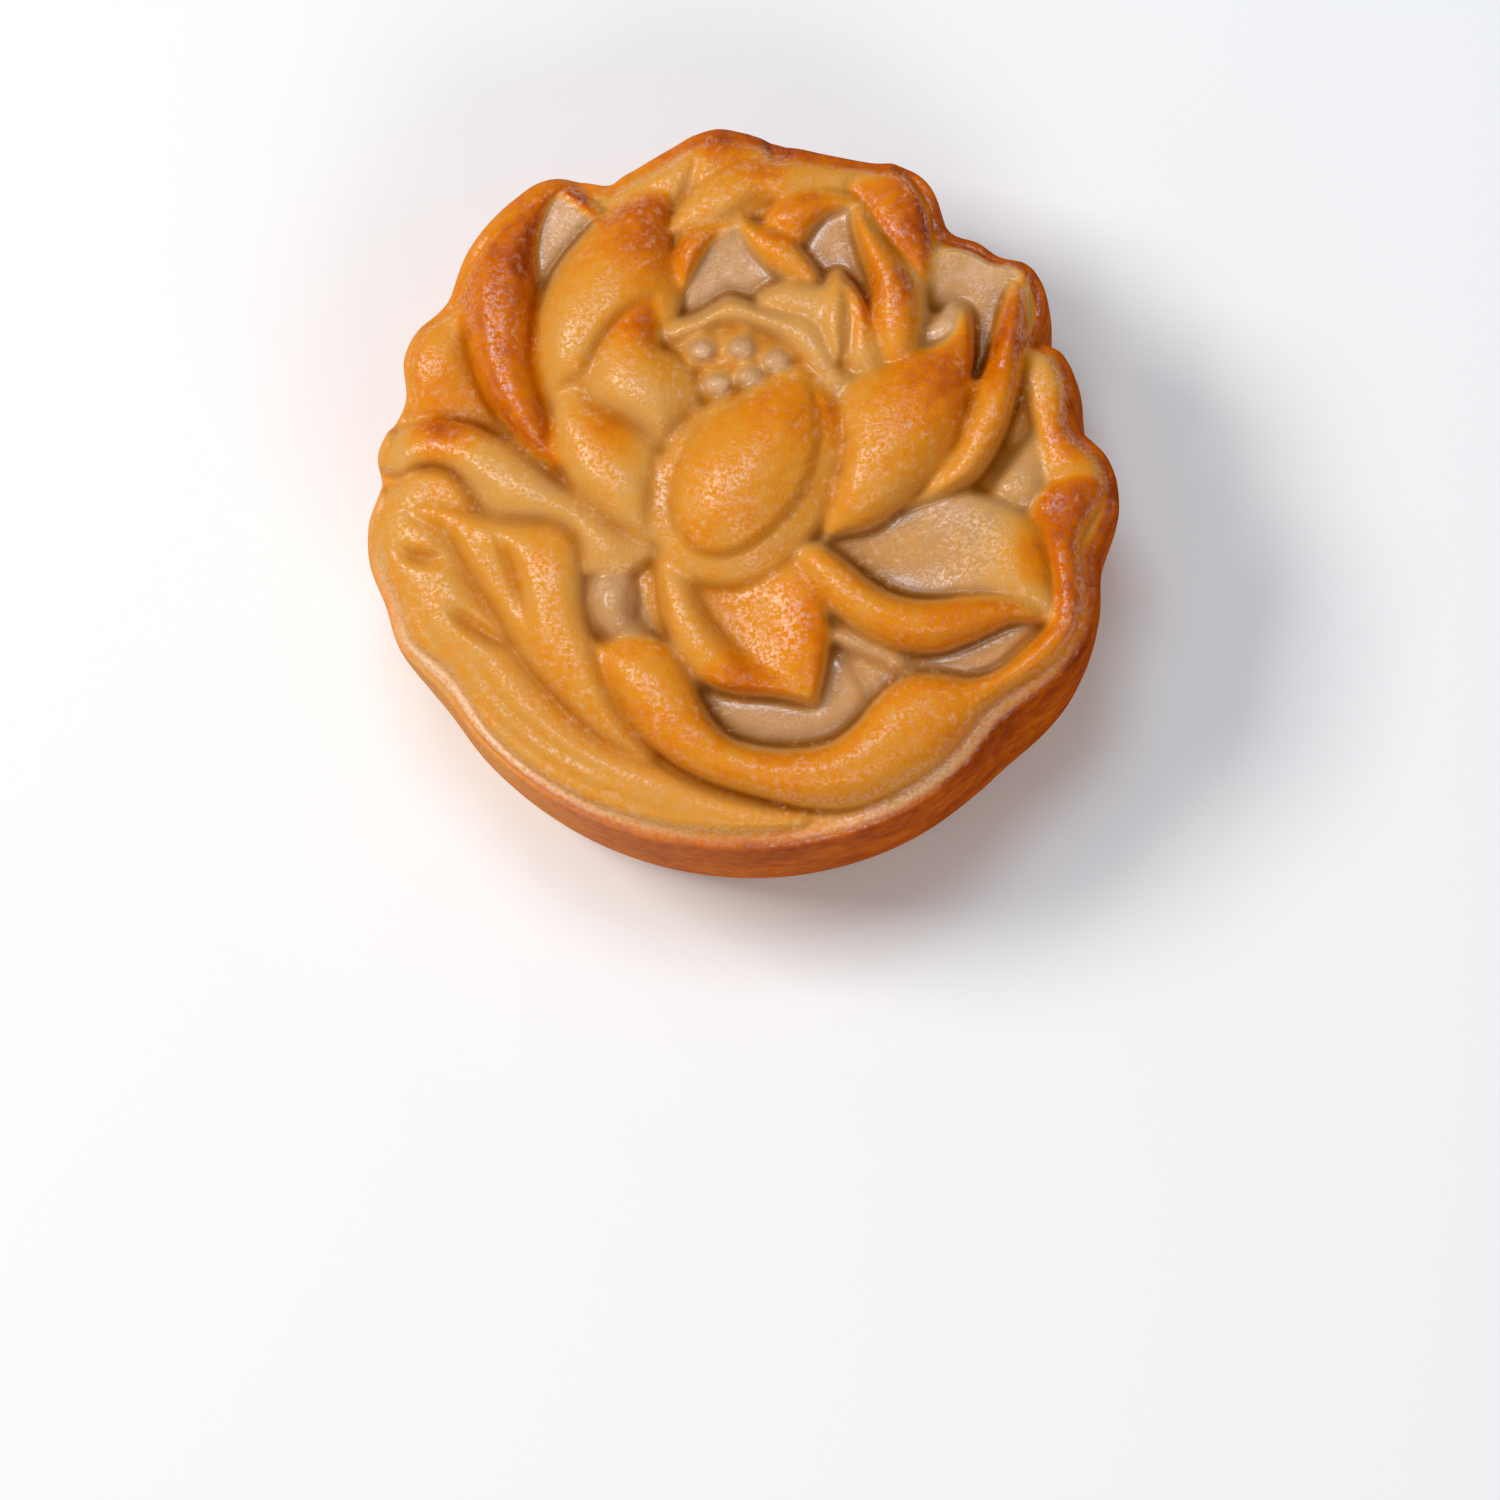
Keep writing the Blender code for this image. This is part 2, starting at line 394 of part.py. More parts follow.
def outer_sepals(relief):
    """Lay the sepals at the right edge, down to the big petal's tip."""
    # low ground behind them
    relief.petal(
        [(28.4, 14.4, 1.0), (29.8, 13.0, 1.0), (30.4, 8.0, 0.8), (31.0, 2.0, 0.6), (29.0, -3.0, 0.4),
         (22.4, -0.6, 0.0), (23.6, 1.6, 0.0), (26.0, 6.0, 0.0), (27.6, 11.0, 0.4)],
        [[(28.6, 10.0, 0.8), (28.2, 5.0, 0.2)]], crease=0.0)
    # small lobe in the hollow
    relief.petal(
        [(29.3, 6.4, 1.2), (28.0, 5.0, 1.0), (26.4, 3.0, 0.8), (25.0, 1.0, 0.8), (24.6, -0.8, 0.8),
         (26.4, -2.0, 1.0), (28.2, -2.2, 1.2), (29.5, -1.0, 1.4), (30.2, 1.0, 1.4), (30.1, 3.2, 1.4)],
        [[(28.4, 3.2, 2.2), (28.0, 0.2, 2.4), (26.6, -0.6, 1.8)]], crease=0.5)
    # upper sepal
    relief.petal(
        [(28.4, 14.5, 1.8), (30.0, 14.4, 2.2), (31.1, 12.8, 2.4), (31.8, 10.8, 2.4), (31.9, 8.4, 2.4),
         (32.1, 6.5, 2.4), (33.2, 5.2, 2.4), (34.5, 4.1, 2.4), (35.4, 2.6, 2.4), (35.8, 0.8, 2.4),
         (34.0, -0.6, 1.8), (31.6, -0.8, 1.6), (30.2, -0.6, 1.4), (30.0, 1.8, 1.4), (29.6, 4.4, 1.2),
         (28.8, 6.8, 1.0), (28.0, 9.4, 0.8), (27.8, 12.2, 1.2)],
        [[(29.6, 12.8, 2.6), (30.3, 9.0, 3.0), (31.0, 5.8, 3.2), (32.8, 3.4, 3.3), (34.6, 1.8, 3.1)]],
        fullness=2.8, wall=1.0, crease=0.3)


def left_sepal(relief):
    """Lay the long sepal that winds in from the left edge, and its curled end."""
    # low ground under the curled end
    relief.petal(
        [(-12.0, -6.0, 1.0), (-7.6, -5.0, 1.0), (-7.0, -9.0, 1.0), (-6.4, -15.8, 0.8), (-16.4, -15.2, 0.6),
         (-17.0, -8.0, 0.6)],
        [[(-9.2, -9.0, 1.3), (-8.8, -12.0, 1.3)]], crease=0.0)
    # its curled end
    relief.petal(
        [(-15.9, -7.0, 1.0), (-16.2, -9.6, 0.8), (-16.1, -11.6, 0.6), (-15.4, -13.3, 0.6),
         (-13.9, -14.5, 0.6), (-12.0, -14.9, 0.6), (-9.6, -14.8, 0.6), (-7.6, -14.7, 0.6),
         (-8.9, -13.2, 0.6), (-9.9, -11.8, 0.8), (-10.4, -10.2, 0.8), (-10.7, -8.6, 0.8),
         (-11.0, -6.8, 1.0)],
        [[(-13.4, -8.2, 1.4), (-13.6, -10.6, 1.4), (-12.9, -12.4, 1.2), (-9.4, -14.1, 0.8)]],
        wall=0.8, crease=0.3)
    relief.ridge(
        [(-13.2, -7.4, 3.0, 2.4), (-13.3, -9.4, 3.5, 2.5), (-13.3, -11.3, 3.6, 2.5),
         (-12.5, -12.9, 3.1, 2.1), (-10.9, -13.9, 2.3, 1.5), (-9.0, -14.5, 1.4, 1.0)], drop=2.6, fillet=0.3)
    # long sepal
    relief.petal(
        [(-35.9, 2.6, 1.8), (-36.1, 4.4, 2.0), (-35.2, 6.1, 2.2), (-33.8, 7.0, 2.2), (-32.2, 7.5, 2.2),
         (-30.0, 7.5, 2.2), (-27.6, 7.0, 2.2), (-25.6, 6.2, 2.2), (-23.6, 5.1, 2.2), (-21.8, 3.6, 2.0),
         (-19.6, 1.9, 2.0), (-17.4, 0.3, 1.8), (-15.6, -1.0, 1.6), (-13.4, -2.9, 1.8), (-11.0, -4.4, 1.8),
         (-8.6, -5.6, 1.8), (-9.8, -6.7, 1.8), (-11.2, -7.8, 2.0), (-13.4, -8.1, 2.2), (-16.0, -7.9, 2.0),
         (-16.3, -6.0, 1.8), (-17.0, -4.0, 1.8), (-19.0, -2.9, 1.8), (-22.0, -2.6, 1.8),
         (-24.6, -2.4, 1.6), (-26.4, -1.2, 1.4), (-27.6, 0.6, 1.4), (-28.9, 2.2, 1.6), (-30.6, 3.0, 1.8),
         (-32.6, 2.9, 1.8), (-34.4, 1.8, 1.6)],
        [[(-34.2, 4.6, 3.4), (-30.4, 5.2, 4.3), (-26.6, 3.2, 4.6), (-22.6, 0.4, 4.6), (-18.8, -1.2, 4.4),
          (-16.0, -3.8, 4.2), (-13.4, -5.8, 3.8)]], wall=0.8, crease=0.6)


def pond(relief):
    """Lay the low ground below the flower, with its stem."""
    relief.petal(
        [(-7.0, -14.0, 0.2), (6.0, -10.0, 0.4), (10.0, -12.0, 0.6), (17.0, -15.2, 0.6), (25.0, -12.6, 0.8),
         (28.6, -13.2, 1.2), (26.4, -15.8, 0.8), (24.4, -18.6, 0.4), (17.0, -19.2, 0.2),
         (13.0, -21.0, 0.2), (8.0, -25.4, 0.2), (0.0, -25.4, 0.2), (-4.6, -22.0, 0.2)],
        [[(2.0, -21.6, 0.2), (8.0, -20.4, 0.4)],
         [(14.0, -17.4, 0.8), (22.0, -16.6, 0.4), (26.0, -14.6, 1.2)]], fullness=2.4, wall=1.2, crease=0.0)
    relief.ridge(
        [(8.4, -13.7, 2.2, 0.7), (11.0, -14.9, 2.4, 0.9), (14.0, -16.2, 2.2, 0.9), (16.6, -17.4, 1.4, 0.8)],
        drop=1.2)
    relief.groove([(8.6, -15.4, 0.3, 0.4), (11.0, -15.8, 0.6, 0.5), (13.6, -17.2, 0.4, 0.5)])
    relief.groove([(8.8, -15.4, 0.2, 0.5), (10.6, -17.0, 0.6, 0.6), (11.8, -19.0, 0.6, 0.6),
                   (12.4, -20.6, 0.2, 0.5)])


def leaf_blade(relief):
    """Lay the leaf with its midrib and nicks."""
    # outer part of the blade, which runs out under the bead
    relief.petal(
        [(-37.6, -1.0, 1.2), (-35.9, 0.4, 1.8), (-34.6, 1.4, 2.0), (-33.0, 2.3, 2.0), (-31.4, 2.5, 2.0),
         (-29.8, 2.1, 2.0), (-28.5, 0.9, 1.8), (-27.6, -0.6, 1.8), (-26.4, -1.9, 1.8), (-24.8, -2.7, 1.8),
         (-20.0, -10.0, 1.8), (-14.0, -20.0, 1.8), (-8.0, -27.0, 1.8), (1.6, -31.0, 1.6),
         (9.0, -32.0, 1.2), (15.0, -31.8, 0.8), (8.0, -35.2, 0.5), (-2.4, -36.0, 0.5), (-12.0, -34.2, 0.5),
         (-18.6, -31.4, 0.5), (-26.2, -25.6, 0.5), (-32.6, -17.4, 0.6), (-36.4, -9.6, 0.8),
         (-38.0, -4.6, 1.0)],
        [[(-32.4, -0.4, 3.3), (-33.0, -4.6, 3.0), (-30.8, -10.6, 3.0), (-26.6, -16.6, 2.9),
          (-21.4, -22.4, 2.8), (-14.6, -27.6, 2.7), (-6.0, -31.0, 2.4), (1.0, -32.6, 2.0)]],
        fullness=3.0, crease=0.0)
    relief.groove([(-34.6, -5.3, 0.4, 0.6), (-33.2, -6.0, 1.5, 0.8), (-31.6, -6.3, 1.5, 0.8),
                   (-29.9, -6.0, 0.4, 0.6)])
    relief.groove([(-29.4, -11.4, 0.4, 0.7), (-28.0, -12.4, 1.5, 0.9), (-26.4, -13.5, 1.6, 0.9),
                   (-25.0, -14.4, 1.2, 0.8), (-23.6, -15.0, 0.4, 0.6)])
    relief.groove([(-33.6, -9.8, 0.1, 0.6), (-30.4, -15.6, 0.3, 0.7), (-26.0, -21.2, 0.3, 0.7),
                   (-20.4, -26.0, 0.3, 0.7), (-13.6, -29.8, 0.3, 0.7), (-5.6, -32.2, 0.1, 0.6)])
    relief.groove([(-28.0, -15.4, 0.1, 0.6), (-24.2, -20.6, 0.4, 0.7), (-18.8, -25.2, 0.4, 0.7),
                   (-12.4, -28.6, 0.1, 0.6)])
    # inner part with the midrib, which stands above the outer part's slope
    relief.groove([(-32.6, -2.2, 0.2, 1.2), (-29.8, -4.2, 0.9, 1.9), (-27.0, -8.2, 1.4, 2.2),
                   (-23.8, -13.4, 1.5, 2.2), (-20.2, -18.4, 1.4, 2.2), (-16.4, -22.6, 1.3, 2.0),
                   (-12.2, -25.4, 0.9, 1.7), (-8.6, -26.8, 0.3, 1.4)])
    relief.petal(
        [(-33.4, -1.6, 2.8), (-31.4, -2.4, 2.4), (-29.4, -4.0, 2.0), (-27.9, -6.6, 1.6),
         (-26.2, -9.4, 1.4), (-24.4, -12.2, 1.3), (-22.9, -15.0, 1.3), (-21.2, -17.4, 1.3),
         (-19.0, -19.8, 1.3), (-16.4, -22.4, 1.3), (-13.9, -24.4, 1.4), (-11.2, -25.8, 1.4),
         (-9.0, -26.4, 1.4), (-8.6, -24.6, 1.6), (-10.4, -21.6, 2.0), (-12.0, -18.6, 2.6),
         (-13.0, -16.4, 3.0), (-14.2, -14.9, 2.4), (-15.4, -13.6, 2.0), (-16.1, -11.0, 2.2),
         (-16.3, -8.4, 2.2), (-16.6, -6.2, 2.2), (-17.5, -4.2, 2.2), (-19.2, -3.2, 2.2),
         (-21.6, -2.9, 2.0), (-24.8, -2.6, 2.0), (-27.0, -2.2, 2.4), (-29.6, -1.2, 2.8),
         (-31.8, -0.8, 3.0)],
        [[(-30.0, -2.4, 3.6), (-27.0, -5.0, 3.5), (-24.4, -9.6, 3.4)],
         [(-20.4, -5.6, 4.2), (-19.2, -9.6, 4.5), (-18.8, -13.6, 4.6), (-17.0, -18.0, 4.7),
          (-14.4, -21.2, 4.4), (-11.6, -24.2, 3.4)]], wall=0.6, crease=0.5)
    relief.groove([(-24.7, -4.2, 0.3, 0.6), (-23.9, -6.0, 1.4, 1.0), (-23.2, -8.2, 1.7, 1.0),
                   (-22.5, -10.4, 1.3, 0.9), (-21.9, -12.6, 0.4, 0.8)])
    relief.groove([(-27.4, -3.6, 0.1, 0.5), (-25.8, -6.0, 0.5, 0.6), (-24.2, -9.4, 0.5, 0.6),
                   (-22.8, -12.8, 0.1, 0.5)])


def leaf_edge(relief):
    """Lay the leaf's rolled edge, which sweeps along the bottom."""
    relief.groove([(-14.6, -16.8, 0.2, 1.0), (-13.0, -20.0, 0.9, 1.5), (-10.8, -23.4, 1.3, 1.8),
                   (-7.4, -26.4, 1.4, 1.8), (-3.6, -28.4, 1.2, 1.7), (1.6, -30.0, 0.9, 1.4),
                   (6.4, -31.2, 0.5, 1.2)])
    relief.petal(
        [(-15.0, -15.4, 2.2), (-13.2, -14.5, 2.2), (-11.0, -14.1, 2.4), (-8.8, -14.4, 2.4),
         (-7.3, -15.5, 2.4), (-6.1, -17.1, 2.2), (-5.1, -18.9, 2.2), (-4.3, -20.6, 2.2),
         (-3.2, -22.5, 2.2), (-1.4, -24.2, 2.2), (1.0, -25.0, 2.2), (4.0, -25.4, 2.2), (7.0, -25.2, 2.2),
         (9.2, -24.4, 2.2), (11.2, -22.8, 2.2), (13.0, -20.7, 2.2), (14.8, -19.1, 2.2), (17.0, -18.2, 2.2),
         (19.4, -18.1, 2.2), (22.6, -18.5, 2.0), (25.4, -17.6, 1.6), (28.0, -15.6, 1.4),
         (30.2, -13.2, 1.4), (30.9, -10.0, 1.6), (30.5, -7.0, 1.6), (29.9, -4.2, 1.6), (28.7, -2.2, 1.8),
         (29.2, -0.9, 2.2), (30.4, 0.4, 2.6), (32.0, 1.3, 2.8), (34.0, 1.7, 2.8), (35.6, 1.7, 2.6),
         (35.9, 0.2, 2.4), (35.3, -1.4, 2.2), (34.2, -2.9, 2.0), (33.5, -4.6, 1.8), (33.6, -7.0, 1.8),
         (33.9, -9.8, 1.8), (33.6, -12.6, 1.8), (32.4, -15.0, 1.8), (30.4, -17.0, 1.8), (27.6, -18.8, 1.8),
         (25.2, -20.6, 1.8), (23.2, -22.8, 1.8), (21.0, -25.2, 1.8), (18.4, -27.4, 1.8),
         (15.0, -29.4, 1.8), (11.0, -31.0, 1.6), (6.4, -31.2, 1.4), (1.6, -30.2, 1.2), (-3.2, -28.8, 1.2),
         (-7.0, -26.9, 1.2), (-10.2, -24.2, 1.2), (-12.3, -21.2, 1.4), (-13.7, -18.6, 2.2)],
        [[(-12.6, -16.6, 4.2), (-9.8, -19.8, 5.2), (-6.8, -23.6, 5.5), (-2.2, -26.8, 5.5),
          (4.0, -28.2, 5.4), (10.0, -27.2, 5.2), (14.6, -24.4, 5.0), (18.6, -21.8, 4.8),
          (22.6, -20.3, 4.2), (26.6, -17.9, 3.6), (29.8, -15.6, 3.4), (31.8, -12.8, 3.3),
          (32.4, -9.4, 3.2), (32.2, -6.0, 3.2), (32.3, -3.0, 3.4), (33.4, -0.6, 3.7)]],
        tips=(31,), fullness=4.3, wall=0.8)


def big_petal(relief):
    """Lay the big right petal: a bowl with a rounded outer rim, and its rolled lip."""
    relief.petal(
        [(4.5, -5.6, 1.6), (8.1, -3.8, 1.0), (10.6, -3.2, 0.8), (13.6, -2.4, 0.8), (18.6, -0.6, 1.2),
         (22.4, 0.0, 1.8), (25.0, -0.6, 2.0), (27.4, -1.9, 2.2), (29.2, -3.7, 2.2), (30.1, -6.0, 2.2),
         (30.4, -8.6, 2.2), (30.9, -11.0, 2.2), (30.7, -12.9, 2.2), (25.6, -13.0, 1.6), (20.6, -14.8, 1.4),
         (15.6, -15.0, 1.4), (12.1, -13.6, 1.4), (9.6, -12.0, 1.4), (7.4, -9.8, 1.6), (5.4, -7.8, 1.8)],
        [[(9.0, -5.2, 0.4), (12.0, -7.0, -0.4), (15.5, -8.2, -0.6), (19.0, -7.6, 0.2)],
         [(22.0, -2.4, 2.6), (25.6, -3.8, 3.3), (27.8, -6.6, 3.6), (28.8, -9.8, 3.5)]],
        tips=(12,), fullness=3.0, crease=0.6)
    relief.petal(
        [(4.2, -6.4, 2.2), (5.4, -5.4, 2.4), (7.2, -4.9, 2.4), (8.8, -5.8, 2.4), (10.6, -7.2, 2.6),
         (12.4, -8.7, 2.8), (14.4, -9.9, 2.8), (16.8, -10.6, 2.8), (19.6, -10.7, 2.8), (22.4, -10.4, 2.8),
         (25.2, -10.4, 2.8), (27.6, -10.9, 2.8), (29.2, -11.7, 2.8), (30.9, -12.9, 2.6),
         (28.6, -12.7, 2.4), (26.6, -12.9, 2.2), (24.6, -13.8, 2.0), (22.4, -14.8, 2.0),
         (20.2, -15.6, 2.0), (18.0, -15.9, 2.0), (15.6, -15.6, 2.0), (13.2, -14.8, 2.0),
         (11.0, -13.6, 2.0), (9.0, -12.0, 2.0), (7.4, -10.2, 2.0), (5.6, -8.2, 2.0)],
        [[(6.4, -6.8, 3.8), (9.4, -8.8, 5.0), (12.6, -11.2, 5.6), (16.0, -12.6, 5.8), (19.6, -12.6, 5.6),
          (23.0, -11.9, 4.8), (27.0, -11.6, 3.8)]], tips=(13,), fullness=3.8)


def bottom_petal(relief):
    """Lay the bottom petal: its hollow, then its two rolled sides."""
    relief.petal(
        [(-8.1, -5.6, 2.0), (-8.3, -9.8, 2.2), (-7.5, -13.4, 2.4), (-5.9, -16.6, 2.4), (-3.6, -18.9, 2.4),
         (-0.6, -19.7, 2.4), (3.2, -20.0, 2.4), (7.1, -20.9, 2.6), (7.9, -17.8, 2.4), (8.4, -14.3, 2.4),
         (7.8, -11.0, 2.4), (6.4, -8.3, 2.2), (4.2, -6.0, 2.0), (-1.4, -6.0, 1.6)],
        [[(-3.0, -9.0, 0.8), (-1.2, -12.4, 0.3), (0.4, -15.4, 0.8)],
         [(4.8, -8.8, 3.0), (6.2, -11.6, 3.9), (6.6, -14.8, 4.3), (6.8, -18.4, 4.2)]],
        tips=(7,), fullness=3.0)
    # left side, a roll that narrows to the tip
    relief.petal(
        [(-8.2, -5.8, 2.2), (-8.4, -9.6, 2.4), (-7.6, -13.4, 2.4), (-6.0, -16.6, 2.4), (-3.7, -18.9, 2.4),
         (-0.6, -19.8, 2.4), (3.2, -20.1, 2.4), (7.1, -21.0, 2.8), (5.2, -18.6, 3.0), (2.8, -17.8, 2.0),
         (0.4, -16.6, 1.4), (-1.8, -14.6, 1.2), (-3.8, -12.0, 1.2), (-5.2, -9.0, 1.4), (-5.6, -5.8, 1.8)],
        [[(-6.8, -8.0, 3.7), (-6.0, -12.0, 4.2), (-4.0, -15.4, 4.6), (-1.4, -17.8, 4.6), (2.6, -19.1, 4.2),
          (5.6, -19.9, 3.9)]], tips=(7,), wall=0.9, crease=0.1)


def front_petals(relief):
    """Lay the right centre petal and the centre petal."""
    # right centre petal
    relief.petal(
        [(22.0, 19.4, 2.8), (22.7, 17.4, 2.6), (22.9, 14.4, 2.6), (22.7, 11.6, 2.6), (22.3, 9.2, 2.6),
         (21.7, 6.8, 2.6), (20.7, 4.4, 2.6), (19.2, 2.2, 2.6), (17.2, 0.0, 2.4), (15.0, -1.9, 2.4),
         (12.6, -3.4, 2.2), (10.2, -4.0, 2.0), (8.0, -4.0, 2.0), (8.6, 0.2, 2.4), (9.2, 3.7, 2.4),
         (9.2, 8.4, 2.4), (10.2, 10.8, 2.6), (12.4, 12.2, 2.8), (15.0, 13.0, 2.8), (17.2, 14.0, 2.8),
         (19.0, 14.7, 2.8), (20.6, 15.7, 2.8), (21.4, 17.0, 2.8)],
        [[(21.9, 17.2, 3.4), (20.8, 12.8, 4.8), (17.6, 8.8, 5.8), (14.4, 4.8, 6.0), (12.0, 1.2, 5.6),
          (10.6, -1.6, 4.2)]], tips=(0,), fullness=4.2, wall=0.8)
    # centre petal: a broad skirt, then the raised middle
    relief.petal(
        [(5.7, 12.9, 3.2), (3.8, 12.3, 3.2), (1.6, 11.3, 3.2), (-0.8, 10.1, 3.2), (-3.2, 9.2, 3.2),
         (-5.4, 7.8, 3.0), (-7.4, 5.6, 2.8), (-8.7, 3.2, 2.8), (-9.4, 0.4, 2.6), (-9.4, -2.6, 2.6),
         (-8.6, -5.4, 2.4), (-7.0, -7.4, 2.4), (-4.6, -8.7, 2.2), (-1.8, -9.2, 2.2), (0.8, -8.8, 2.2),
         (3.2, -7.5, 2.4), (5.4, -5.6, 2.4), (7.2, -3.6, 2.6), (8.5, -1.0, 2.6), (9.4, 2.0, 2.8),
         (9.8, 5.2, 2.8), (9.2, 8.2, 3.0), (8.0, 10.6, 3.2)],
        [[(4.6, 10.2, 4.6), (1.6, 5.6, 5.4), (-0.6, 0.6, 5.4), (-1.4, -3.4, 4.8)]],
        tips=(0,), fullness=4.2, wall=0.8)
    relief.petal(
        [(5.3, 11.6, 4.0), (2.8, 10.6, 4.4), (0.0, 9.2, 4.4), (-2.6, 8.0, 4.2), (-4.6, 6.2, 4.2),
         (-6.0, 3.8, 4.4), (-6.9, 1.0, 4.6), (-7.0, -1.6, 4.6), (-6.3, -3.8, 4.6), (-4.8, -5.4, 4.6),
         (-2.8, -6.0, 4.6), (-0.8, -5.6, 4.8), (1.2, -4.5, 5.0), (3.4, -2.6, 5.0), (5.2, -0.4, 5.0),
         (6.5, 2.4, 5.0), (7.1, 5.2, 4.8), (7.1, 8.2, 4.4), (6.5, 10.4, 4.2)],
        [[(4.0, 8.6, 5.7), (1.4, 4.6, 6.8), (-1.4, 0.6, 7.1), (-2.6, -2.4, 6.7)]],
        tips=(0,), wall=0.7, crease=0.3)


def disc_grid(cells):
    """Square grid bent into a unit disc, as radius shares and angles: each square ring becomes a circle."""
    line = np.linspace(-1.0, 1.0, cells + 1)
    u, v = np.meshgrid(line, line)
    wide = np.abs(u) >= np.abs(v)
    radius = np.maximum(np.abs(u), np.abs(v))
    safe_u, safe_v = np.where(u == 0.0, 1.0, u), np.where(v == 0.0, 1.0, v)
    across = np.pi / 4.0 * v / safe_u + np.where(u < 0.0, np.pi, 0.0)
    upward = np.pi / 2.0 - np.pi / 4.0 * u / safe_v + np.where(v < 0.0, np.pi, 0.0)
    return radius, np.where(wide, across, upward)


def rounded(grid, radius, cell):
    """Round the raised edges of a grid of heights as if a ball had been rolled round beneath the surface."""
    reach = int(radius / cell)
    rows, columns = grid.shape
    steps = [(i, j, radius - np.sqrt(radius**2 - (i * i + j * j) * cell**2))
             for i in range(-reach, reach + 1) for j in range(-reach, reach + 1)
             if (i * i + j * j) * cell**2 <= radius**2]
    for sign in (1.0, -1.0):
        padded = np.pad(grid * sign, reach, mode="edge")
        near = [padded[reach + i:reach + i + rows, reach + j:reach + j + columns] + drop
                for i, j, drop in steps]
        grid = sign * np.minimum.reduce(near)
    return grid


def soften(grid):
    """One pass of smoothing over a grid, by a quarter, a half and a quarter along both directions."""
    for axis in (0, 1):
        padded = np.pad(grid, [(1, 1) if k == axis else (0, 0) for k in (0, 1)], mode="edge")
        a, b, c = (np.take(padded, range(k, k + grid.shape[axis]), axis=axis) for k in (0, 1, 2))
        grid = a / 4.0 + b / 2.0 + c / 4.0
    return grid


def border_bead(angle, inward):
    """Height of the bead by the distance in from the edge, and how much of the relief it takes away."""
    degrees = np.degrees(angle) % 360.0
    ends = ease((degrees - BEAD_FROM) / BEAD_FADE) * ease((BEAD_TO - degrees) / BEAD_FADE)
    width = around(BEAD_WIDTH, angle)
    bead = BEAD_RISE * np.sin(np.pi * np.clip(inward / width, 0.0, 1.0))
    return bead, ends * ease((width + BEAD_EDGE - inward) / (2.0 * BEAD_EDGE))


def cake_top(share, angle):
    """Points of the top: the lotus on a gentle dome, then the border bead, with edges and creases rounded."""
    edge = around(EDGE, angle)
    radius = share * edge
    x, y = radius * np.cos(angle), radius * np.sin(angle)
    relief = Relief(x.ravel(), y.ravel())
    for form in (back_petals, far_left_petal, upper_cups, seed_pod, left_petals, right_back_petal,
                 outer_sepals, left_sepal, pond, leaf_blade, leaf_edge, big_petal, bottom_petal,
                 front_petals):
        form(relief)
    bead, outside = border_bead(angle, edge - radius)
    dome = DOME_RISE * (1.0 - np.clip(share, 0.0, 1.0)**2)**DOME_POWER
    height = dome + relief.height.reshape(x.shape) * (1.0 - outside) + bead * outside
    cell = 2.0 * edge.mean() / TOP_CELLS
    height = rounded(height, EDGE_ROUNDING, cell)
    filled = -rounded(-height, CREASE_ROUNDING, cell)
    height = filled - CREASE_DEPTH * (1.0 - np.exp((height - filled) / CREASE_DEPTH))
    for _ in range(SOFTENING_PASSES):
        height = soften(height)
    y = y * PLAN_STRETCH
    x = x + (DRAFT_POINT[0] - x) * height / DRAFT_HEIGHT
    y = y + (DRAFT_POINT[1] - y) * height / DRAFT_HEIGHT
    return np.stack([x, y, RIM_HEIGHT + height], axis=-1).reshape(-1, 3)


def side_rows():
    """Rows of the side from the top edge down: how far out, how much of the bulge, and the height."""
    rows = []
    for k in range(1, CORNER_ROWS + 1):
        a = np.pi / 2.0 * k / CORNER_ROWS
        rows.append((CORNER_RADIUS * np.sin(a), 0.0, RIM_HEIGHT - CORNER_RADIUS * (1.0 - np.cos(a))))
    high, low = RIM_HEIGHT - CORNER_RADIUS, FOOT_RADIUS
    for k in range(1, BODY_ROWS):
        share = k / BODY_ROWS
        swell = np.sin(np.pi * share)**BELLY_POWER
        out = CORNER_RADIUS + BELLY_OUT * swell - TAPER * share**2
        rows.append((out, swell, high + (low - high) * share))
    for k in range(FOOT_ROWS + 1):
        a = np.pi / 2.0 * k / FOOT_ROWS
        rows.append((CORNER_RADIUS - TAPER - low * (1.0 - np.cos(a)), 0.0, low * (1.0 - np.sin(a))))
    return rows


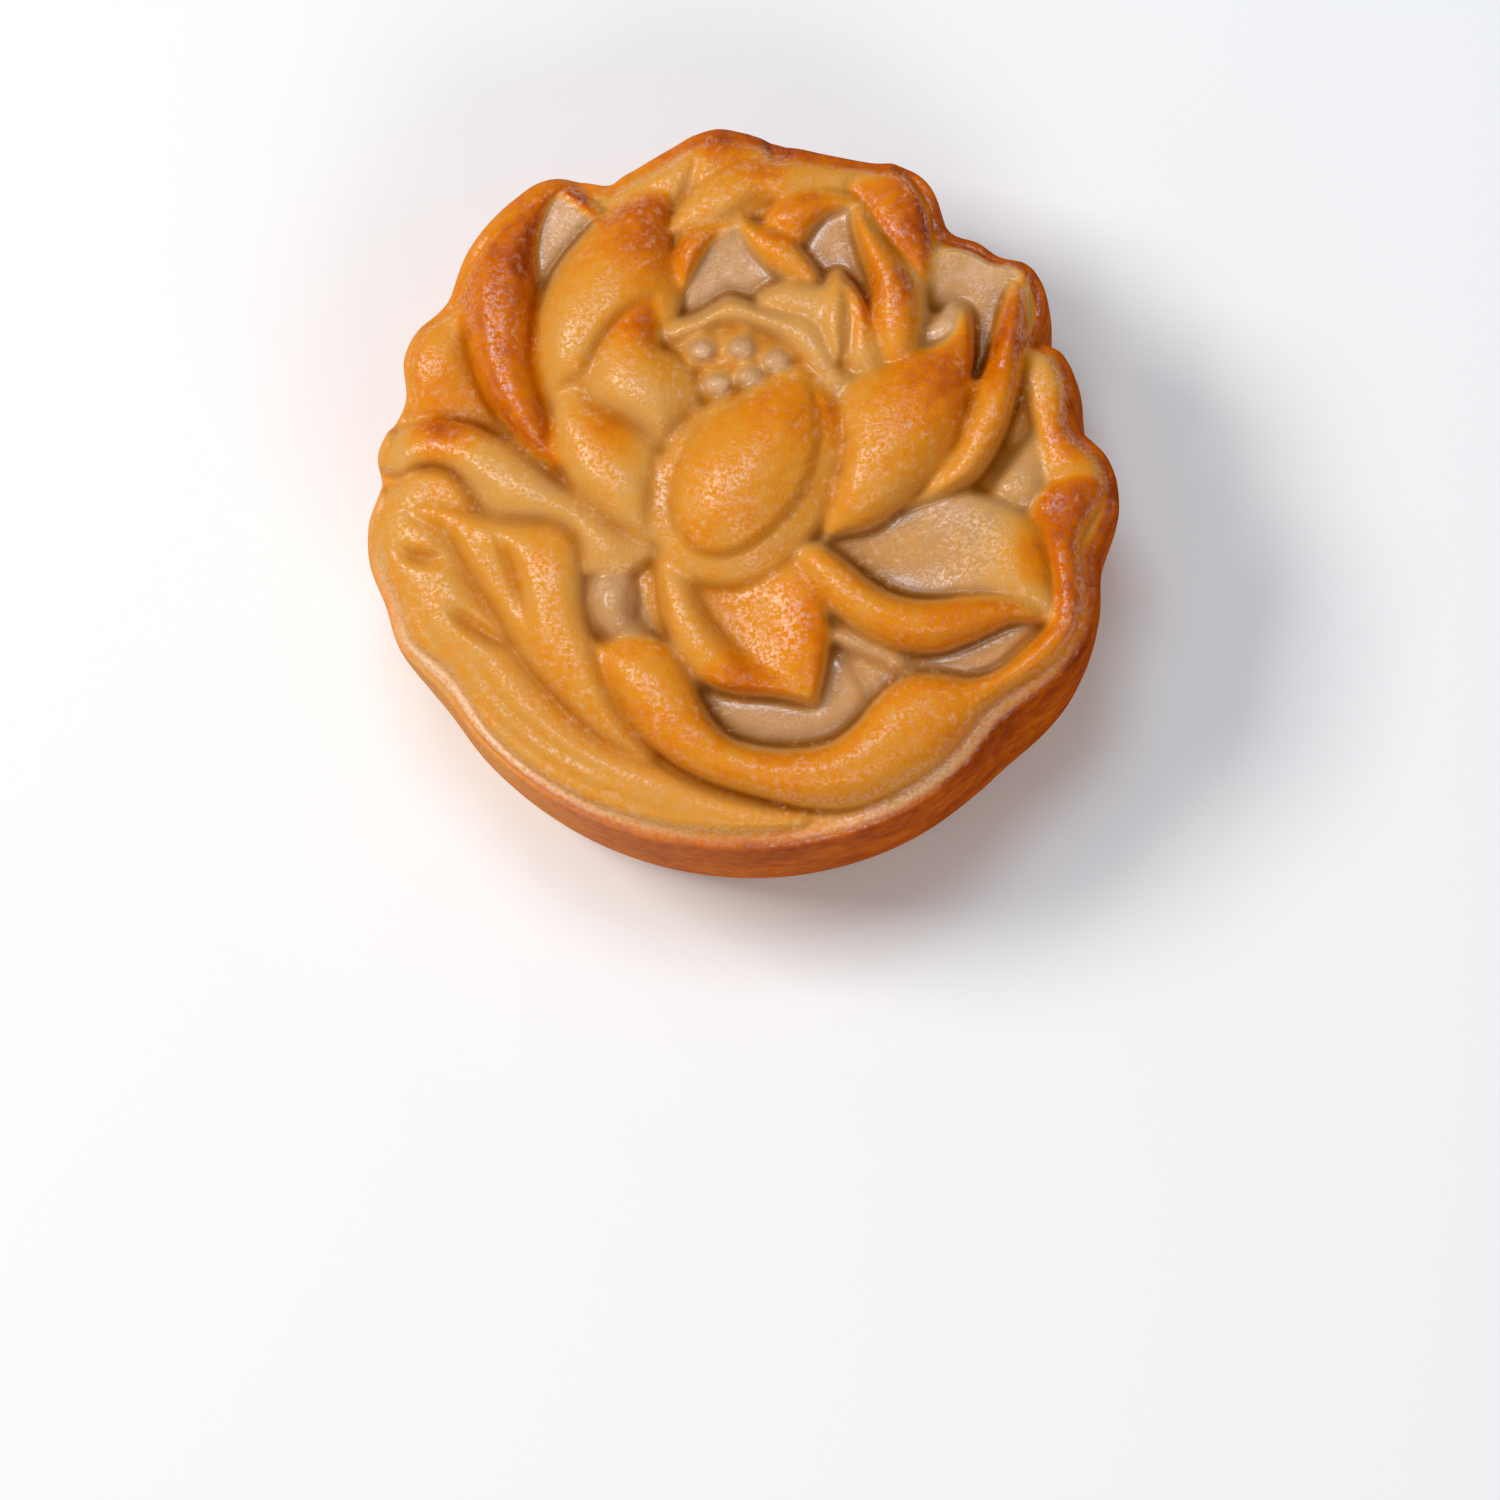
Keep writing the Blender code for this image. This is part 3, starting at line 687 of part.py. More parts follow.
def cake_surface():
    """Points and faces of the whole cake: the top as a bent grid, the side in rows, and the flat bottom."""
    share, angle = disc_grid(TOP_CELLS)
    top = cake_top(share, angle)
    n = TOP_CELLS + 1
    index = np.arange(n * n).reshape(n, n)
    quads = np.stack([index[:-1, :-1], index[:-1, 1:], index[1:, 1:], index[1:, :-1]], axis=-1)
    faces = [quads.reshape(-1, 4)]
    border = np.concatenate([index[0, :-1], index[:-1, -1], index[-1, :0:-1], index[:0:-1, 0]])
    edge_angle = angle.ravel()[border]
    scallops, edge_height = around(EDGE, edge_angle), top[border, 2] - RIM_HEIGHT
    bulge = BULGE_OUT * np.exp(-((np.degrees(edge_angle) % 360.0 - BULGE_ANGLE) / BULGE_SPREAD)**2)
    even = scallops.mean()
    points, ring, below = [top], border, n * n
    for out, swell, z in side_rows():
        fade = SCALLOP_FADE * min(1.0, SCALLOP_RATE * (1.0 - z / RIM_HEIGHT))
        r = scallops + (even - scallops) * fade + out + bulge * swell
        lift = edge_height * (1.0 - ease((RIM_HEIGHT - z) / LIFT_DEPTH))
        across, upward = r * np.cos(edge_angle), r * np.sin(edge_angle) * PLAN_STRETCH
        points.append(np.stack([across, upward, z + lift], axis=-1))
        lower = np.arange(below, below + len(border))
        faces.append(np.stack([ring, lower, np.roll(lower, -1), np.roll(ring, -1)], axis=-1))
        ring, below = lower, below + len(border)
    points = np.vstack(points + [np.zeros((1, 3))])
    fan = np.stack([np.roll(ring, -1), ring, np.full(len(ring), below)], axis=-1)
    plan = points[:, :2]
    points[:, :2] -= (plan.min(axis=0) + plan.max(axis=0)) / 2.0
    return points * MM, [face for block in faces for face in block.tolist()] + fan.tolist()


def crust_material():
    """Baked crust: golden brown with a low gloss from the egg wash."""
    material = bpy.data.materials.new("golden_crust")
    material.use_nodes = True
    shader = material.node_tree.nodes["Principled BSDF"]
    shader.inputs["Base Color"].default_value = (0.56, 0.25, 0.05, 1.0)
    shader.inputs["Roughness"].default_value = 0.42
    shader.inputs["Metallic"].default_value = 0.0
    return material


def build_cake():
    """Make the cake as one closed solid, thinned to the triangles that its shape needs."""
    points, faces = cake_surface()
    mesh = bpy.data.meshes.new("mooncake")
    mesh.from_pydata(points.tolist(), [], faces)
    mesh.update()
    mesh.shade_smooth()
    mesh.materials.append(crust_material())
    cake = bpy.data.objects.new("mooncake", mesh)
    bpy.context.scene.collection.objects.link(cake)
    split = cake.modifiers.new("triangles", "TRIANGULATE")
    split.quad_method = "SHORTEST_DIAGONAL"
    thin = cake.modifiers.new("thin", "DECIMATE")
    thin.decimate_type = "COLLAPSE"
    thin.ratio = KEPT_SHARE
    return cake


for old in list(bpy.data.objects):
    bpy.data.objects.remove(old, do_unlink=True)
build_cake()
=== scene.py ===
"""A baked lotus seed mooncake in the studio.

The cake is one piece, worked out in millimetres by formulas: a lotus in relief on a gentle dome, a
scalloped side and a flat bottom. Every form of the relief carries how brown it is baked, and the crust's
material turns that into colour, gloss and fine grain.
"""
import logging
from collections.abc import Sequence
from dataclasses import dataclass, field
from enum import Enum

import bpy
import numpy as np
from mathutils import Matrix, Vector


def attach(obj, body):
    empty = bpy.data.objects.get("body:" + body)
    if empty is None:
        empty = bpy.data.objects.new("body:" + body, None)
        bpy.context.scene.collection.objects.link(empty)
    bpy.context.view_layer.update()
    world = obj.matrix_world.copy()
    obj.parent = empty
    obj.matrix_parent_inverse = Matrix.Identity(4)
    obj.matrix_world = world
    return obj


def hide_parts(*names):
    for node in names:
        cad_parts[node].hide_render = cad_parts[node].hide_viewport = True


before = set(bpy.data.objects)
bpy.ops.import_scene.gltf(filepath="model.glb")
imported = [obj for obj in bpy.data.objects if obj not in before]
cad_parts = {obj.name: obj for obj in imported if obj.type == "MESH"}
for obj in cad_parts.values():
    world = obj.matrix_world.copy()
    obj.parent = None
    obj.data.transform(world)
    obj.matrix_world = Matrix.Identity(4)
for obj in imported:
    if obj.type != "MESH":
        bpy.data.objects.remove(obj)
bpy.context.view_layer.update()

NODE = "mooncake"
SLOT = "golden_crust"
MM = 0.001
LOG = logging.getLogger("mooncake")

Array = np.ndarray
Points = Sequence[tuple[float, ...]]
Span = tuple[float, float]
Tone = tuple[int, int, int]


def hermite(t: Array, a: Array, b: Array, leave: Array, arrive: Array) -> Array:
    """Cubic from a to b with given slopes at its ends.

    Args:
        t: share of the way, from 0 to 1.
        a: value at the start.
        b: value at the end.
        leave: slope at the start, per whole way.
        arrive: slope at the end, per whole way.

    Returns:
        The cubic's values at t.
    """
    return ((2 * t**3 - 3 * t**2 + 1) * a + (t**3 - 2 * t**2 + t) * leave
            + (3 * t**2 - 2 * t**3) * b + (t**3 - t**2) * arrive)


def ease(t: Array) -> Array:
    """Smooth step: 3 t squared minus 2 t cubed, with t held between 0 and 1.

    Args:
        t: share of the way.

    Returns:
        0 up to t = 0, 1 from t = 1, and a smooth rise between.
    """
    t = np.clip(t, 0.0, 1.0)
    return t * t * (3.0 - 2.0 * t)


def around(knots: Points, angle: Array) -> Array:
    """Value by angle: a cubic through knots, closed round the circle.

    Args:
        knots: angles in degrees, each with its value.
        angle: angles in radians.

    Returns:
        The values at those angles.
    """
    table = np.array(knots)
    angles = np.concatenate([table[:, 0] - 360.0, table[:, 0], table[:, 0] + 360.0])
    values = np.tile(table[:, 1], 3)
    slopes = np.gradient(values, angles)
    degrees = np.degrees(angle) % 360.0
    i = np.searchsorted(angles, degrees, side="right") - 1
    span = angles[i + 1] - angles[i]
    t = (degrees - angles[i]) / span
    return hermite(t, values[i], values[i + 1], slopes[i] * span, slopes[i + 1] * span)


def curve(points: Points, closed: bool, tips: Sequence[int] = (), steps: int = 10) -> Array:
    """Smooth curve through points: a cubic on each run, whose slopes are half the step between neighbours.

    Args:
        points: the points, each with any number of values.
        closed: whether the last point joins the first.
        tips: indices of the points that keep a corner.
        steps: places worked out on each run.

    Returns:
        The curve's places, one a row.
    """
    p = np.array(points, float)
    before, after = np.roll(p, 1, axis=0), np.roll(p, -1, axis=0)
    leave = (after - before) / 2.0
    if not closed:
        leave[0], leave[-1] = p[1] - p[0], p[-1] - p[-2]
    arrive = leave.copy()
    for k in tips:
        leave[k], arrive[k] = after[k] - p[k], p[k] - before[k]
    t = (np.arange(steps) / steps)[:, None]
    runs = range(len(p) if closed else len(p) - 1)
    parts = [hermite(t, p[i], after[i], leave[i], np.roll(arrive, -1, axis=0)[i]) for i in runs]
    return np.vstack(parts if closed else parts + [p[-1:]])


@dataclass(frozen=True)
class Bake:
    """How brown a form is, from 0, pale, to 1, deep brown: evenly, and otherwise round one spot.

    The spot's share fades as e to the minus (distance / reach) squared.
    """

    even: float
    spot: float = 0.0
    x: float = 0.0
    y: float = 0.0
    reach: float = 0.0

    def at(self, x: Array, y: Array) -> Array:
        """How brown the form is at points.

        Args:
            x: the points' places to the right, in millimetres.
            y: the points' places upwards on the relief, in millimetres.

        Returns:
            The brownness at each point.
        """
        if not self.reach:
            return np.full(len(x), self.even)
        near = np.exp(-((x - self.x)**2 + (y - self.y)**2) / self.reach**2)
        return self.even + (self.spot - self.even) * near


class Relief:
    """Height and brownness over the cake's top, built up form by form from the back to the front."""

    # points worked out at once, and what stands in for a length or a rise of nothing
    CHUNK = 4000
    TINY = 1e-12
    # squares of the distances at which the pulls of a petal's rim and of its crests level off
    RIM_SOFTNESS = 0.15
    CREST_SOFTNESS = 5.0
    # distance over which the pressing down beside a petal fades
    CREASE_REACH = 0.7
    # a ridge's power, how many half widths it reaches, and the height over which its browning takes over
    ROUNDNESS = 2.6
    RIDGE_REACH = 2.0
    RIDGE_BLEND = 1.2
    # how steeply a groove fades, and how many half widths it reaches
    GROOVE_FALL = 1.5
    GROOVE_REACH = 2.2

    def __init__(self, x: Array, y: Array, ground: float, bake: float) -> None:
        """Start with even ground.

        Args:
            x: the points' places to the right, in millimetres.
            y: the points' places upwards on the relief, in millimetres.
            ground: height of the ground above the rim.
            bake: how brown the ground is.
        """
        self.x, self.y = x, y
        self.height = np.full(len(x), ground)
        self.bake = np.full(len(x), bake)
        self.pressed = np.zeros(len(x))

    def near(self, points: Array, margin: float) -> list[Array]:
        """Find the points round some others.

        Args:
            points: places to look round.
            margin: how far past their box to look.

        Returns:
            Indices of the points found, in batches.
        """
        low, high = points.min(axis=0) - margin, points.max(axis=0) + margin
        found = np.where((self.x > low[0]) & (self.x < high[0]) & (self.y > low[1]) & (self.y < high[1]))[0]
        return np.array_split(found, max(1, len(found) // self.CHUNK))

    def spans(self, batch: Array, start: Array, end: Array) -> tuple[Array, Array, Array]:
        """Measure to straight runs: the foot of each point is its share t along the run, held to 0 to 1.

        Args:
            batch: indices of the points.
            start: where each run starts.
            end: where each run ends.

        Returns:
            Squared distance to each run, the share t, and the side, above 0 on the run's right.
        """
        dx, dy = (end - start)[:, 0], (end - start)[:, 1]
        px = self.x[batch, None] - start[:, 0]
        py = self.y[batch, None] - start[:, 1]
        t = np.clip((px * dx + py * dy) / (dx**2 + dy**2 + self.TINY), 0.0, 1.0)
        return (px - t * dx)**2 + (py - t * dy)**2, t, px * dy - py * dx

    def encloses(self, batch: Array, start: Array, end: Array) -> Array:
        """Test which points a closed outline goes round, by counting its crossings to their right.

        Args:
            batch: indices of the points.
            start: where each run of the outline starts.
            end: where each run ends.

        Returns:
            True for each point inside.
        """
        px, py = self.x[batch, None], self.y[batch, None]
        crosses = (start[:, 1] > py) != (end[:, 1] > py)
        run, rise = (end - start)[:, 0], (end - start)[:, 1]
        at = start[:, 0] + run * (py - start[:, 1]) / np.where(rise == 0.0, self.TINY, rise)
        return np.sum(crosses & (px < at), axis=1) % 2 == 1

    def pull(self, batch: Array, line: Array, softness: float) -> tuple[Array, Array]:
        """Feel a line from each point: every bit weighs its length over (distance squared + softness).

        Args:
            batch: indices of the points.
            line: places with a height.
            softness: square of the distance at which the pull levels off.

        Returns:
            The weights' sum, and the sum of weight times height.
        """
        start, end = line[:-1], line[1:]
        middle = (start + end) / 2.0
        length = np.hypot(*(end - start)[:, :2].T)
        weight = length / ((self.x[batch, None] - middle[:, 0])**2
                           + (self.y[batch, None] - middle[:, 1])**2 + softness)
        return weight.sum(axis=1), (weight * middle[:, 2]).sum(axis=1)

    def petal(self, rim: Points, crests: Sequence[Points], bake: Bake, tips: Sequence[int] = (),
              fullness: float = 3.8, wall: float = 0.7, crease: float = 0.5) -> None:
        """Lay a petal over what is there: a skin from its rim to its crest lines.

        The height goes from the rim's to the crest's by 1 - (1 - t) to the power of fullness, where t is
        the crest's share of the pull. At its edge the petal falls to what lies behind it, which is pressed
        down there by crease times e to the minus (distance / CREASE_REACH) squared, less what it was
        pressed before.

        Args:
            rim: the closed outline, points with a height.
            crests: lines inside it, points with a height.
            bake: how brown it is.
            tips: indices of the rim's corners.
            fullness: how fast the skin rises from the rim.
            wall: width of the fall at the edge.
            crease: how far it presses down what lies behind it.
        """
        loop = curve(rim, True, tips)
        start, end = loop, np.roll(loop, -1, axis=0)
        ring = np.vstack([loop, loop[:1]])
        lines = [curve(crest, False) for crest in crests]
        for batch in self.near(loop, 2.0 * self.CREASE_REACH):
            gap = np.sqrt(self.spans(batch, start, end)[0].min(axis=1))
            gap = np.where(self.encloses(batch, start, end), gap, -gap)
            cover = ease(gap / wall + 0.5)
            rim_pull, rim_height = self.pull(batch, ring, self.RIM_SOFTNESS)
            pulls = [self.pull(batch, line, self.CREST_SOFTNESS) for line in lines]
            crest_pull = sum(pull for pull, _ in pulls)
            crest_height = sum(height for _, height in pulls) / crest_pull
            rim_height = rim_height / rim_pull
            t = crest_pull / (crest_pull + rim_pull)
            skin = rim_height + (crest_height - rim_height) * (1.0 - (1.0 - t)**fullness)
            press = np.maximum(crease * np.exp(-(gap / self.CREASE_REACH)**2) - self.pressed[batch], 0.0)
            self.height[batch] = (self.height[batch] - press) * (1.0 - cover) + skin * cover
            self.pressed[batch] = (self.pressed[batch] + press) * (1.0 - cover)
            tone = bake.at(self.x[batch], self.y[batch])
            self.bake[batch] = self.bake[batch] * (1.0 - cover) + tone * cover

    def along(self, batch: Array, path: Array) -> tuple[Array, Array, Array, Array]:
        """Find the nearest place of a path.

        Args:
            batch: indices of the points.
            path: points with a height and a half width.

        Returns:
            Distance, height there, half width there, and side, above 0 on the path's right.
        """
        line = curve(path, False)
        gap, t, side = self.spans(batch, line[:-1], line[1:])
        i = gap.argmin(axis=1)
        row = np.arange(len(batch))
        here = line[i] + (line[i + 1] - line[i]) * t[row, i, None]
        return np.sqrt(gap[row, i]), here[:, 2], here[:, 3], side[row, i]

    def ridge(self, path: Points, bake: Bake, drop: float = 2.5, lean: float = 0.0,
              fillet: float = 0.4) -> None:
        """Raise a rounded ridge along a path: height - drop (distance / half width) to the power ROUNDNESS.

        It blends into its surroundings by the smooth maximum (a + b + root((a - b)^2 + fillet^2)) / 2, less
        fillet / 2 times e to the minus ((a - b) / fillet) squared, and never lowers them.

        Args:
            path: points with a height and a half width.
            bake: how brown it is.
            drop: how much lower it is at its half width.
            lean: how much steeper its right side is than its left.
            fillet: how softly it meets its surroundings.
        """
        path = np.array(path, float)
        for batch in self.near(path, path[:, 3].max() * self.RIDGE_REACH):
            gap, top, width, side = self.along(batch, path)
            share = gap / (width * np.where(side > 0.0, 1.0 - lean, 1.0 + lean))
            before, bump = self.height[batch], top - drop * share**self.ROUNDNESS
            higher = (before + bump + np.hypot(before - bump, fillet)) / 2.0
            higher -= fillet / 2.0 * np.exp(-((before - bump) / fillet)**2)
            felt = share < self.RIDGE_REACH
            self.height[batch] = np.where(felt, np.maximum(higher, before), before)
            cover = np.where(felt, ease((bump - before) / self.RIDGE_BLEND + 0.5), 0.0)
            tone = bake.at(self.x[batch], self.y[batch])
            self.bake[batch] = self.bake[batch] * (1.0 - cover) + tone * cover

    def groove(self, path: Points) -> None:
        """Press a groove along a path: its depth times e to the minus GROOVE_FALL (gap / half width)^2.

        Args:
            path: points with a depth and a half width.
        """
        path = np.array(path, float)
        for batch in self.near(path, path[:, 3].max() * self.GROOVE_REACH):
            gap, depth, width, _ = self.along(batch, path)
            self.height[batch] -= depth * np.exp(-self.GROOVE_FALL * (gap / width)**2)

    def seed(self, x: float, y: float, length: float, width: float, rise: float, bake: float) -> None:
        """Raise one seed, half an ellipsoid.

        Args:
            x: its middle to the right.
            y: its middle upwards.
            length: its half length.
            width: its half width.
            rise: its height.
            bake: how brown it is.
        """
        inside = 1.0 - ((self.x - x) / length)**2 - ((self.y - y) / width)**2
        self.height += rise * np.sqrt(np.clip(inside, 0.0, None))
        self.bake += (bake - self.bake) * ease(2.0 * inside)


class Lotus:
    """The relief's lotus flower and leaf, laid from the back to the front. Lengths in millimetres."""

    GROUND_BAKE = 0.35

    def lay(self, relief: Relief) -> None:
        """Lay every form.

        Args:
            relief: the ground, which the forms are laid on.
        """
        for form in (self.back_petals, self.far_left_petal, self.upper_cups, self.seed_pod,
                     self.left_petals, self.right_back_petal, self.outer_sepals, self.left_sepal,
                     self.pond, self.leaf_blade, self.leaf_edge, self.big_petal, self.bottom_petal,
                     self.front_petals):
            form(relief)
        LOG.info("lotus: %d points shaped", len(relief.x))

    def back_petals(self, relief: Relief) -> None:
        """Lay the petals behind all others along the top edge.

        Args:
            relief: what lies below, which the forms are laid on.
        """
        # petal behind all others, with its peak at the top edge and a fold below the peak
        relief.petal(
            [(-13.9, 29.5, 1.8), (-10.4, 31.8, 2.0), (-7.4, 33.5, 2.2), (-5.0, 35.0, 2.2),
             (-2.6, 35.9, 2.2), (-0.6, 35.2, 2.2), (2.4, 34.2, 2.0), (3.0, 30.0, 1.0), (-2.0, 25.0, 0.6),
             (-8.6, 24.6, 0.4), (-12.4, 26.6, 0.8)],
            [[(-10.4, 30.0, 2.4), (-7.2, 32.2, 2.8), (-2.8, 34.4, 3.2)]],
            Bake(0.36, 0.8, -2.0, 36.2, 3.5), tips=(4,))
        relief.groove([(-4.7, 34.4, 0.2, 0.5), (-5.1, 32.6, 0.6, 0.7), (-6.2, 29.8, 1.2, 1.3),
                       (-7.4, 27.2, 1.4, 1.3)])
        # long petal that lies along the top edge
        relief.petal(
            [(-7.8, 26.2, 1.6), (-7.4, 27.6, 1.8), (-6.2, 29.4, 2.0), (-4.4, 31.2, 2.2), (-2.0, 32.6, 2.4),
             (1.0, 33.4, 2.4), (4.4, 33.5, 2.4), (8.4, 33.0, 2.2), (12.0, 32.4, 2.2), (15.2, 31.9, 2.2),
             (12.4, 30.8, 1.4), (8.0, 29.6, 0.8), (3.6, 28.2, 0.4), (-0.4, 27.4, 0.8), (-3.0, 26.8, 1.4),
             (-5.6, 26.0, 1.4)],
            [[(-5.8, 27.6, 3.2), (-3.4, 29.6, 3.8), (0.4, 31.4, 3.8), (5.0, 32.0, 3.4), (9.6, 31.8, 2.8)]],
            Bake(0.4, 0.78, 2.0, 34.8, 3.5), tips=(9,))
        relief.groove([(-0.6, 28.4, 0.3, 1.0), (1.6, 29.4, 1.1, 1.4), (3.4, 28.8, 1.0, 1.1)])
        # petal at the upper right edge
        relief.petal(
            [(14.9, 32.2, 2.2), (16.6, 31.2, 2.4), (17.8, 29.2, 2.4), (18.5, 27.0, 2.4), (18.9, 24.6, 2.2),
             (19.2, 22.0, 1.6), (18.9, 19.4, 1.0), (17.0, 17.0, 0.8), (13.0, 22.0, 0.4), (11.0, 28.0, 0.8),
             (10.6, 30.6, 1.4), (12.6, 31.8, 1.8)],
            [[(14.4, 30.2, 2.6), (16.0, 28.0, 3.2), (17.2, 25.0, 3.4), (17.9, 22.0, 2.8)]],
            Bake(0.68, 0.94, 18.8, 27.5, 3.2), tips=(0,))

    def far_left_petal(self, relief: Relief) -> None:
        """Lay the far left petal with its rolled rim, and the petal tucked behind it.

        Args:
            relief: what lies below, which the forms are laid on.
        """
        # its hollow
        relief.petal(
            [(-18.4, 31.0, 2.0), (-20.6, 29.9, 1.8), (-24.0, 27.0, 1.6), (-27.2, 23.6, 1.6),
             (-28.6, 20.0, 1.6), (-28.6, 16.4, 1.6), (-27.9, 13.2, 1.6), (-26.0, 9.2, 1.4),
             (-23.2, 5.8, 1.2), (-20.2, 3.2, 1.0), (-17.6, 3.2, 0.2), (-18.6, 9.7, -0.4),
             (-19.9, 15.2, -0.4), (-18.4, 22.2, 0.2), (-15.4, 26.2, 1.0), (-14.5, 28.0, 2.0),
             (-16.0, 29.8, 2.2)],
            [[(-18.0, 28.6, 1.8), (-18.9, 26.4, 1.2), (-20.2, 23.0, 0.2), (-21.2, 18.0, -0.8),
              (-20.6, 11.0, -0.8)]], Bake(0.18, 0.0, -18.4, 27.6, 3.0), tips=(0,), fullness=2.4)
        # petal tucked behind it at the left edge, with a deep pocket
        relief.petal(
            [(-28.2, 18.6, 1.4), (-30.6, 17.5, 1.8), (-32.2, 16.3, 2.0), (-33.3, 14.4, 2.0),
             (-33.7, 12.4, 2.0), (-33.2, 10.4, 1.8), (-33.3, 8.8, 1.4), (-32.8, 7.4, 0.8),
             (-29.4, 6.4, 0.0), (-25.0, 5.4, -0.8), (-25.6, 9.2, -0.8), (-27.6, 14.2, 0.4)],
            [[(-31.0, 15.8, 2.8), (-31.6, 12.8, 2.9), (-31.4, 10.0, 2.0)],
             [(-27.6, 11.0, -0.6), (-26.6, 8.0, -1.2)]], Bake(0.52, 0.66, -33.5, 13.0, 3.0), fullness=3.0)
        # its rolled rim
        relief.ridge(
            [(-19.3, 30.8, 2.6, 0.8), (-21.0, 29.6, 3.1, 1.5), (-22.9, 27.5, 3.7, 2.3),
             (-24.5, 25.0, 4.2, 3.0), (-25.4, 22.0, 4.4, 3.5), (-25.5, 18.6, 4.5, 3.5),
             (-25.1, 15.4, 4.5, 3.3), (-24.4, 12.2, 4.4, 2.9), (-23.1, 9.2, 4.2, 2.4),
             (-21.5, 6.6, 3.8, 1.8), (-20.0, 4.6, 3.2, 1.3), (-18.8, 3.2, 2.6, 0.8)],
            Bake(0.71, 0.87, -22.0, 24.5, 5.0), drop=3.0, lean=0.15)
        relief.ridge(
            [(-18.6, 30.7, 2.6, 0.6), (-16.9, 29.8, 2.6, 0.7), (-15.6, 28.6, 2.4, 0.6),
             (-14.9, 27.6, 2.0, 0.5)], Bake(0.86), drop=1.6)

    def upper_cups(self, relief: Relief) -> None:
        """Lay the two cupped petals above the seed pod.

        Args:
            relief: what lies below, which the forms are laid on.
        """
        # right cup: hollow, then its left and right rims
        relief.petal(
            [(2.0, 27.0, 2.2), (3.4, 29.0, 2.4), (5.8, 30.0, 2.6), (8.4, 30.4, 2.6), (11.2, 29.6, 2.8),
             (12.6, 27.9, 2.8), (14.3, 25.4, 3.0), (16.3, 23.2, 3.0), (17.8, 20.8, 3.0), (18.3, 18.2, 3.0),
             (18.3, 16.2, 2.6), (17.8, 14.0, 2.2), (14.6, 12.6, 2.0), (12.4, 15.0, 0.6), (7.0, 19.0, 0.2),
             (4.6, 22.6, 0.6), (3.0, 25.4, 1.6)],
            [[(9.2, 27.4, 1.6), (8.8, 24.6, 0.0), (10.2, 21.6, -0.8), (12.2, 18.8, -1.0)]],
            Bake(0.1), tips=(4,), fullness=3.0)
        relief.petal(
            [(1.9, 27.4, 2.2), (2.7, 28.7, 2.4), (4.4, 29.8, 2.6), (6.6, 30.4, 2.6), (9.0, 30.3, 2.6),
             (11.2, 29.6, 2.8), (9.8, 28.7, 2.2), (8.2, 28.1, 1.8), (6.9, 26.9, 1.6), (5.7, 25.2, 1.6),
             (4.4, 25.4, 1.8), (2.9, 26.4, 2.0)],
            [[(3.4, 27.6, 4.0), (5.6, 28.7, 4.3), (8.6, 29.5, 3.9)]],
            Bake(0.6, 0.75, 6.0, 30.5, 2.0), crease=0.4)
        relief.ridge(
            [(11.2, 29.2, 3.4, 0.5), (11.8, 27.0, 4.0, 1.1), (12.9, 24.8, 4.5, 1.6),
             (14.3, 22.4, 4.8, 2.1), (15.2, 20.0, 4.9, 2.6), (15.2, 17.5, 4.7, 3.0),
             (15.3, 15.2, 4.2, 2.8), (15.4, 13.2, 3.6, 2.4)], Bake(0.52, 0.74, 16.8, 22.0, 3.6), drop=3.4)
        # left cup: hollow, then its left and right rims
        relief.petal(
            [(-0.7, 27.8, 2.6), (-2.2, 27.0, 2.4), (-4.0, 26.5, 2.2), (-6.2, 26.1, 2.2), (-6.9, 24.4, 2.0),
             (-6.7, 22.0, 1.8), (-6.2, 18.0, 0.4), (-0.9, 17.0, 0.2), (3.6, 17.5, 0.2), (6.4, 19.6, 0.8),
             (7.4, 21.6, 2.0), (6.4, 23.4, 2.6), (4.4, 25.6, 2.8), (1.6, 26.9, 2.8)],
            [[(-1.4, 25.2, 2.2), (-1.6, 22.0, 0.8), (-1.8, 19.4, -0.4)]],
            Bake(0.12), tips=(0,), fullness=2.8)
        relief.ridge(
            [(-1.2, 27.3, 3.0, 0.4), (-3.4, 26.1, 3.2, 0.8), (-5.1, 25.1, 3.6, 1.4),
             (-6.0, 23.2, 3.4, 1.2), (-6.3, 20.8, 2.6, 0.6)], Bake(0.62), drop=2.0)
        relief.petal(
            [(-0.8, 27.9, 2.8), (1.2, 27.0, 2.8), (3.2, 26.4, 2.8), (4.8, 25.4, 2.8), (6.4, 23.5, 2.6),
             (7.5, 21.4, 2.2), (6.0, 21.1, 1.6), (4.4, 21.6, 1.6), (2.6, 22.6, 1.6), (0.9, 24.3, 2.0),
             (-0.3, 26.2, 2.4)],
            [[(0.6, 26.2, 3.8), (3.2, 24.8, 4.4), (5.6, 22.6, 4.2)]],
            Bake(0.46, 0.85, 3.2, 27.2, 2.2), tips=(0,), crease=0.4)

    def seed_pod(self, relief: Relief) -> None:
        """Lay the seed pod with its seeds, the ribbon round it and the folded petal behind it.

        Args:
            relief: what lies below, which the forms are laid on.
        """
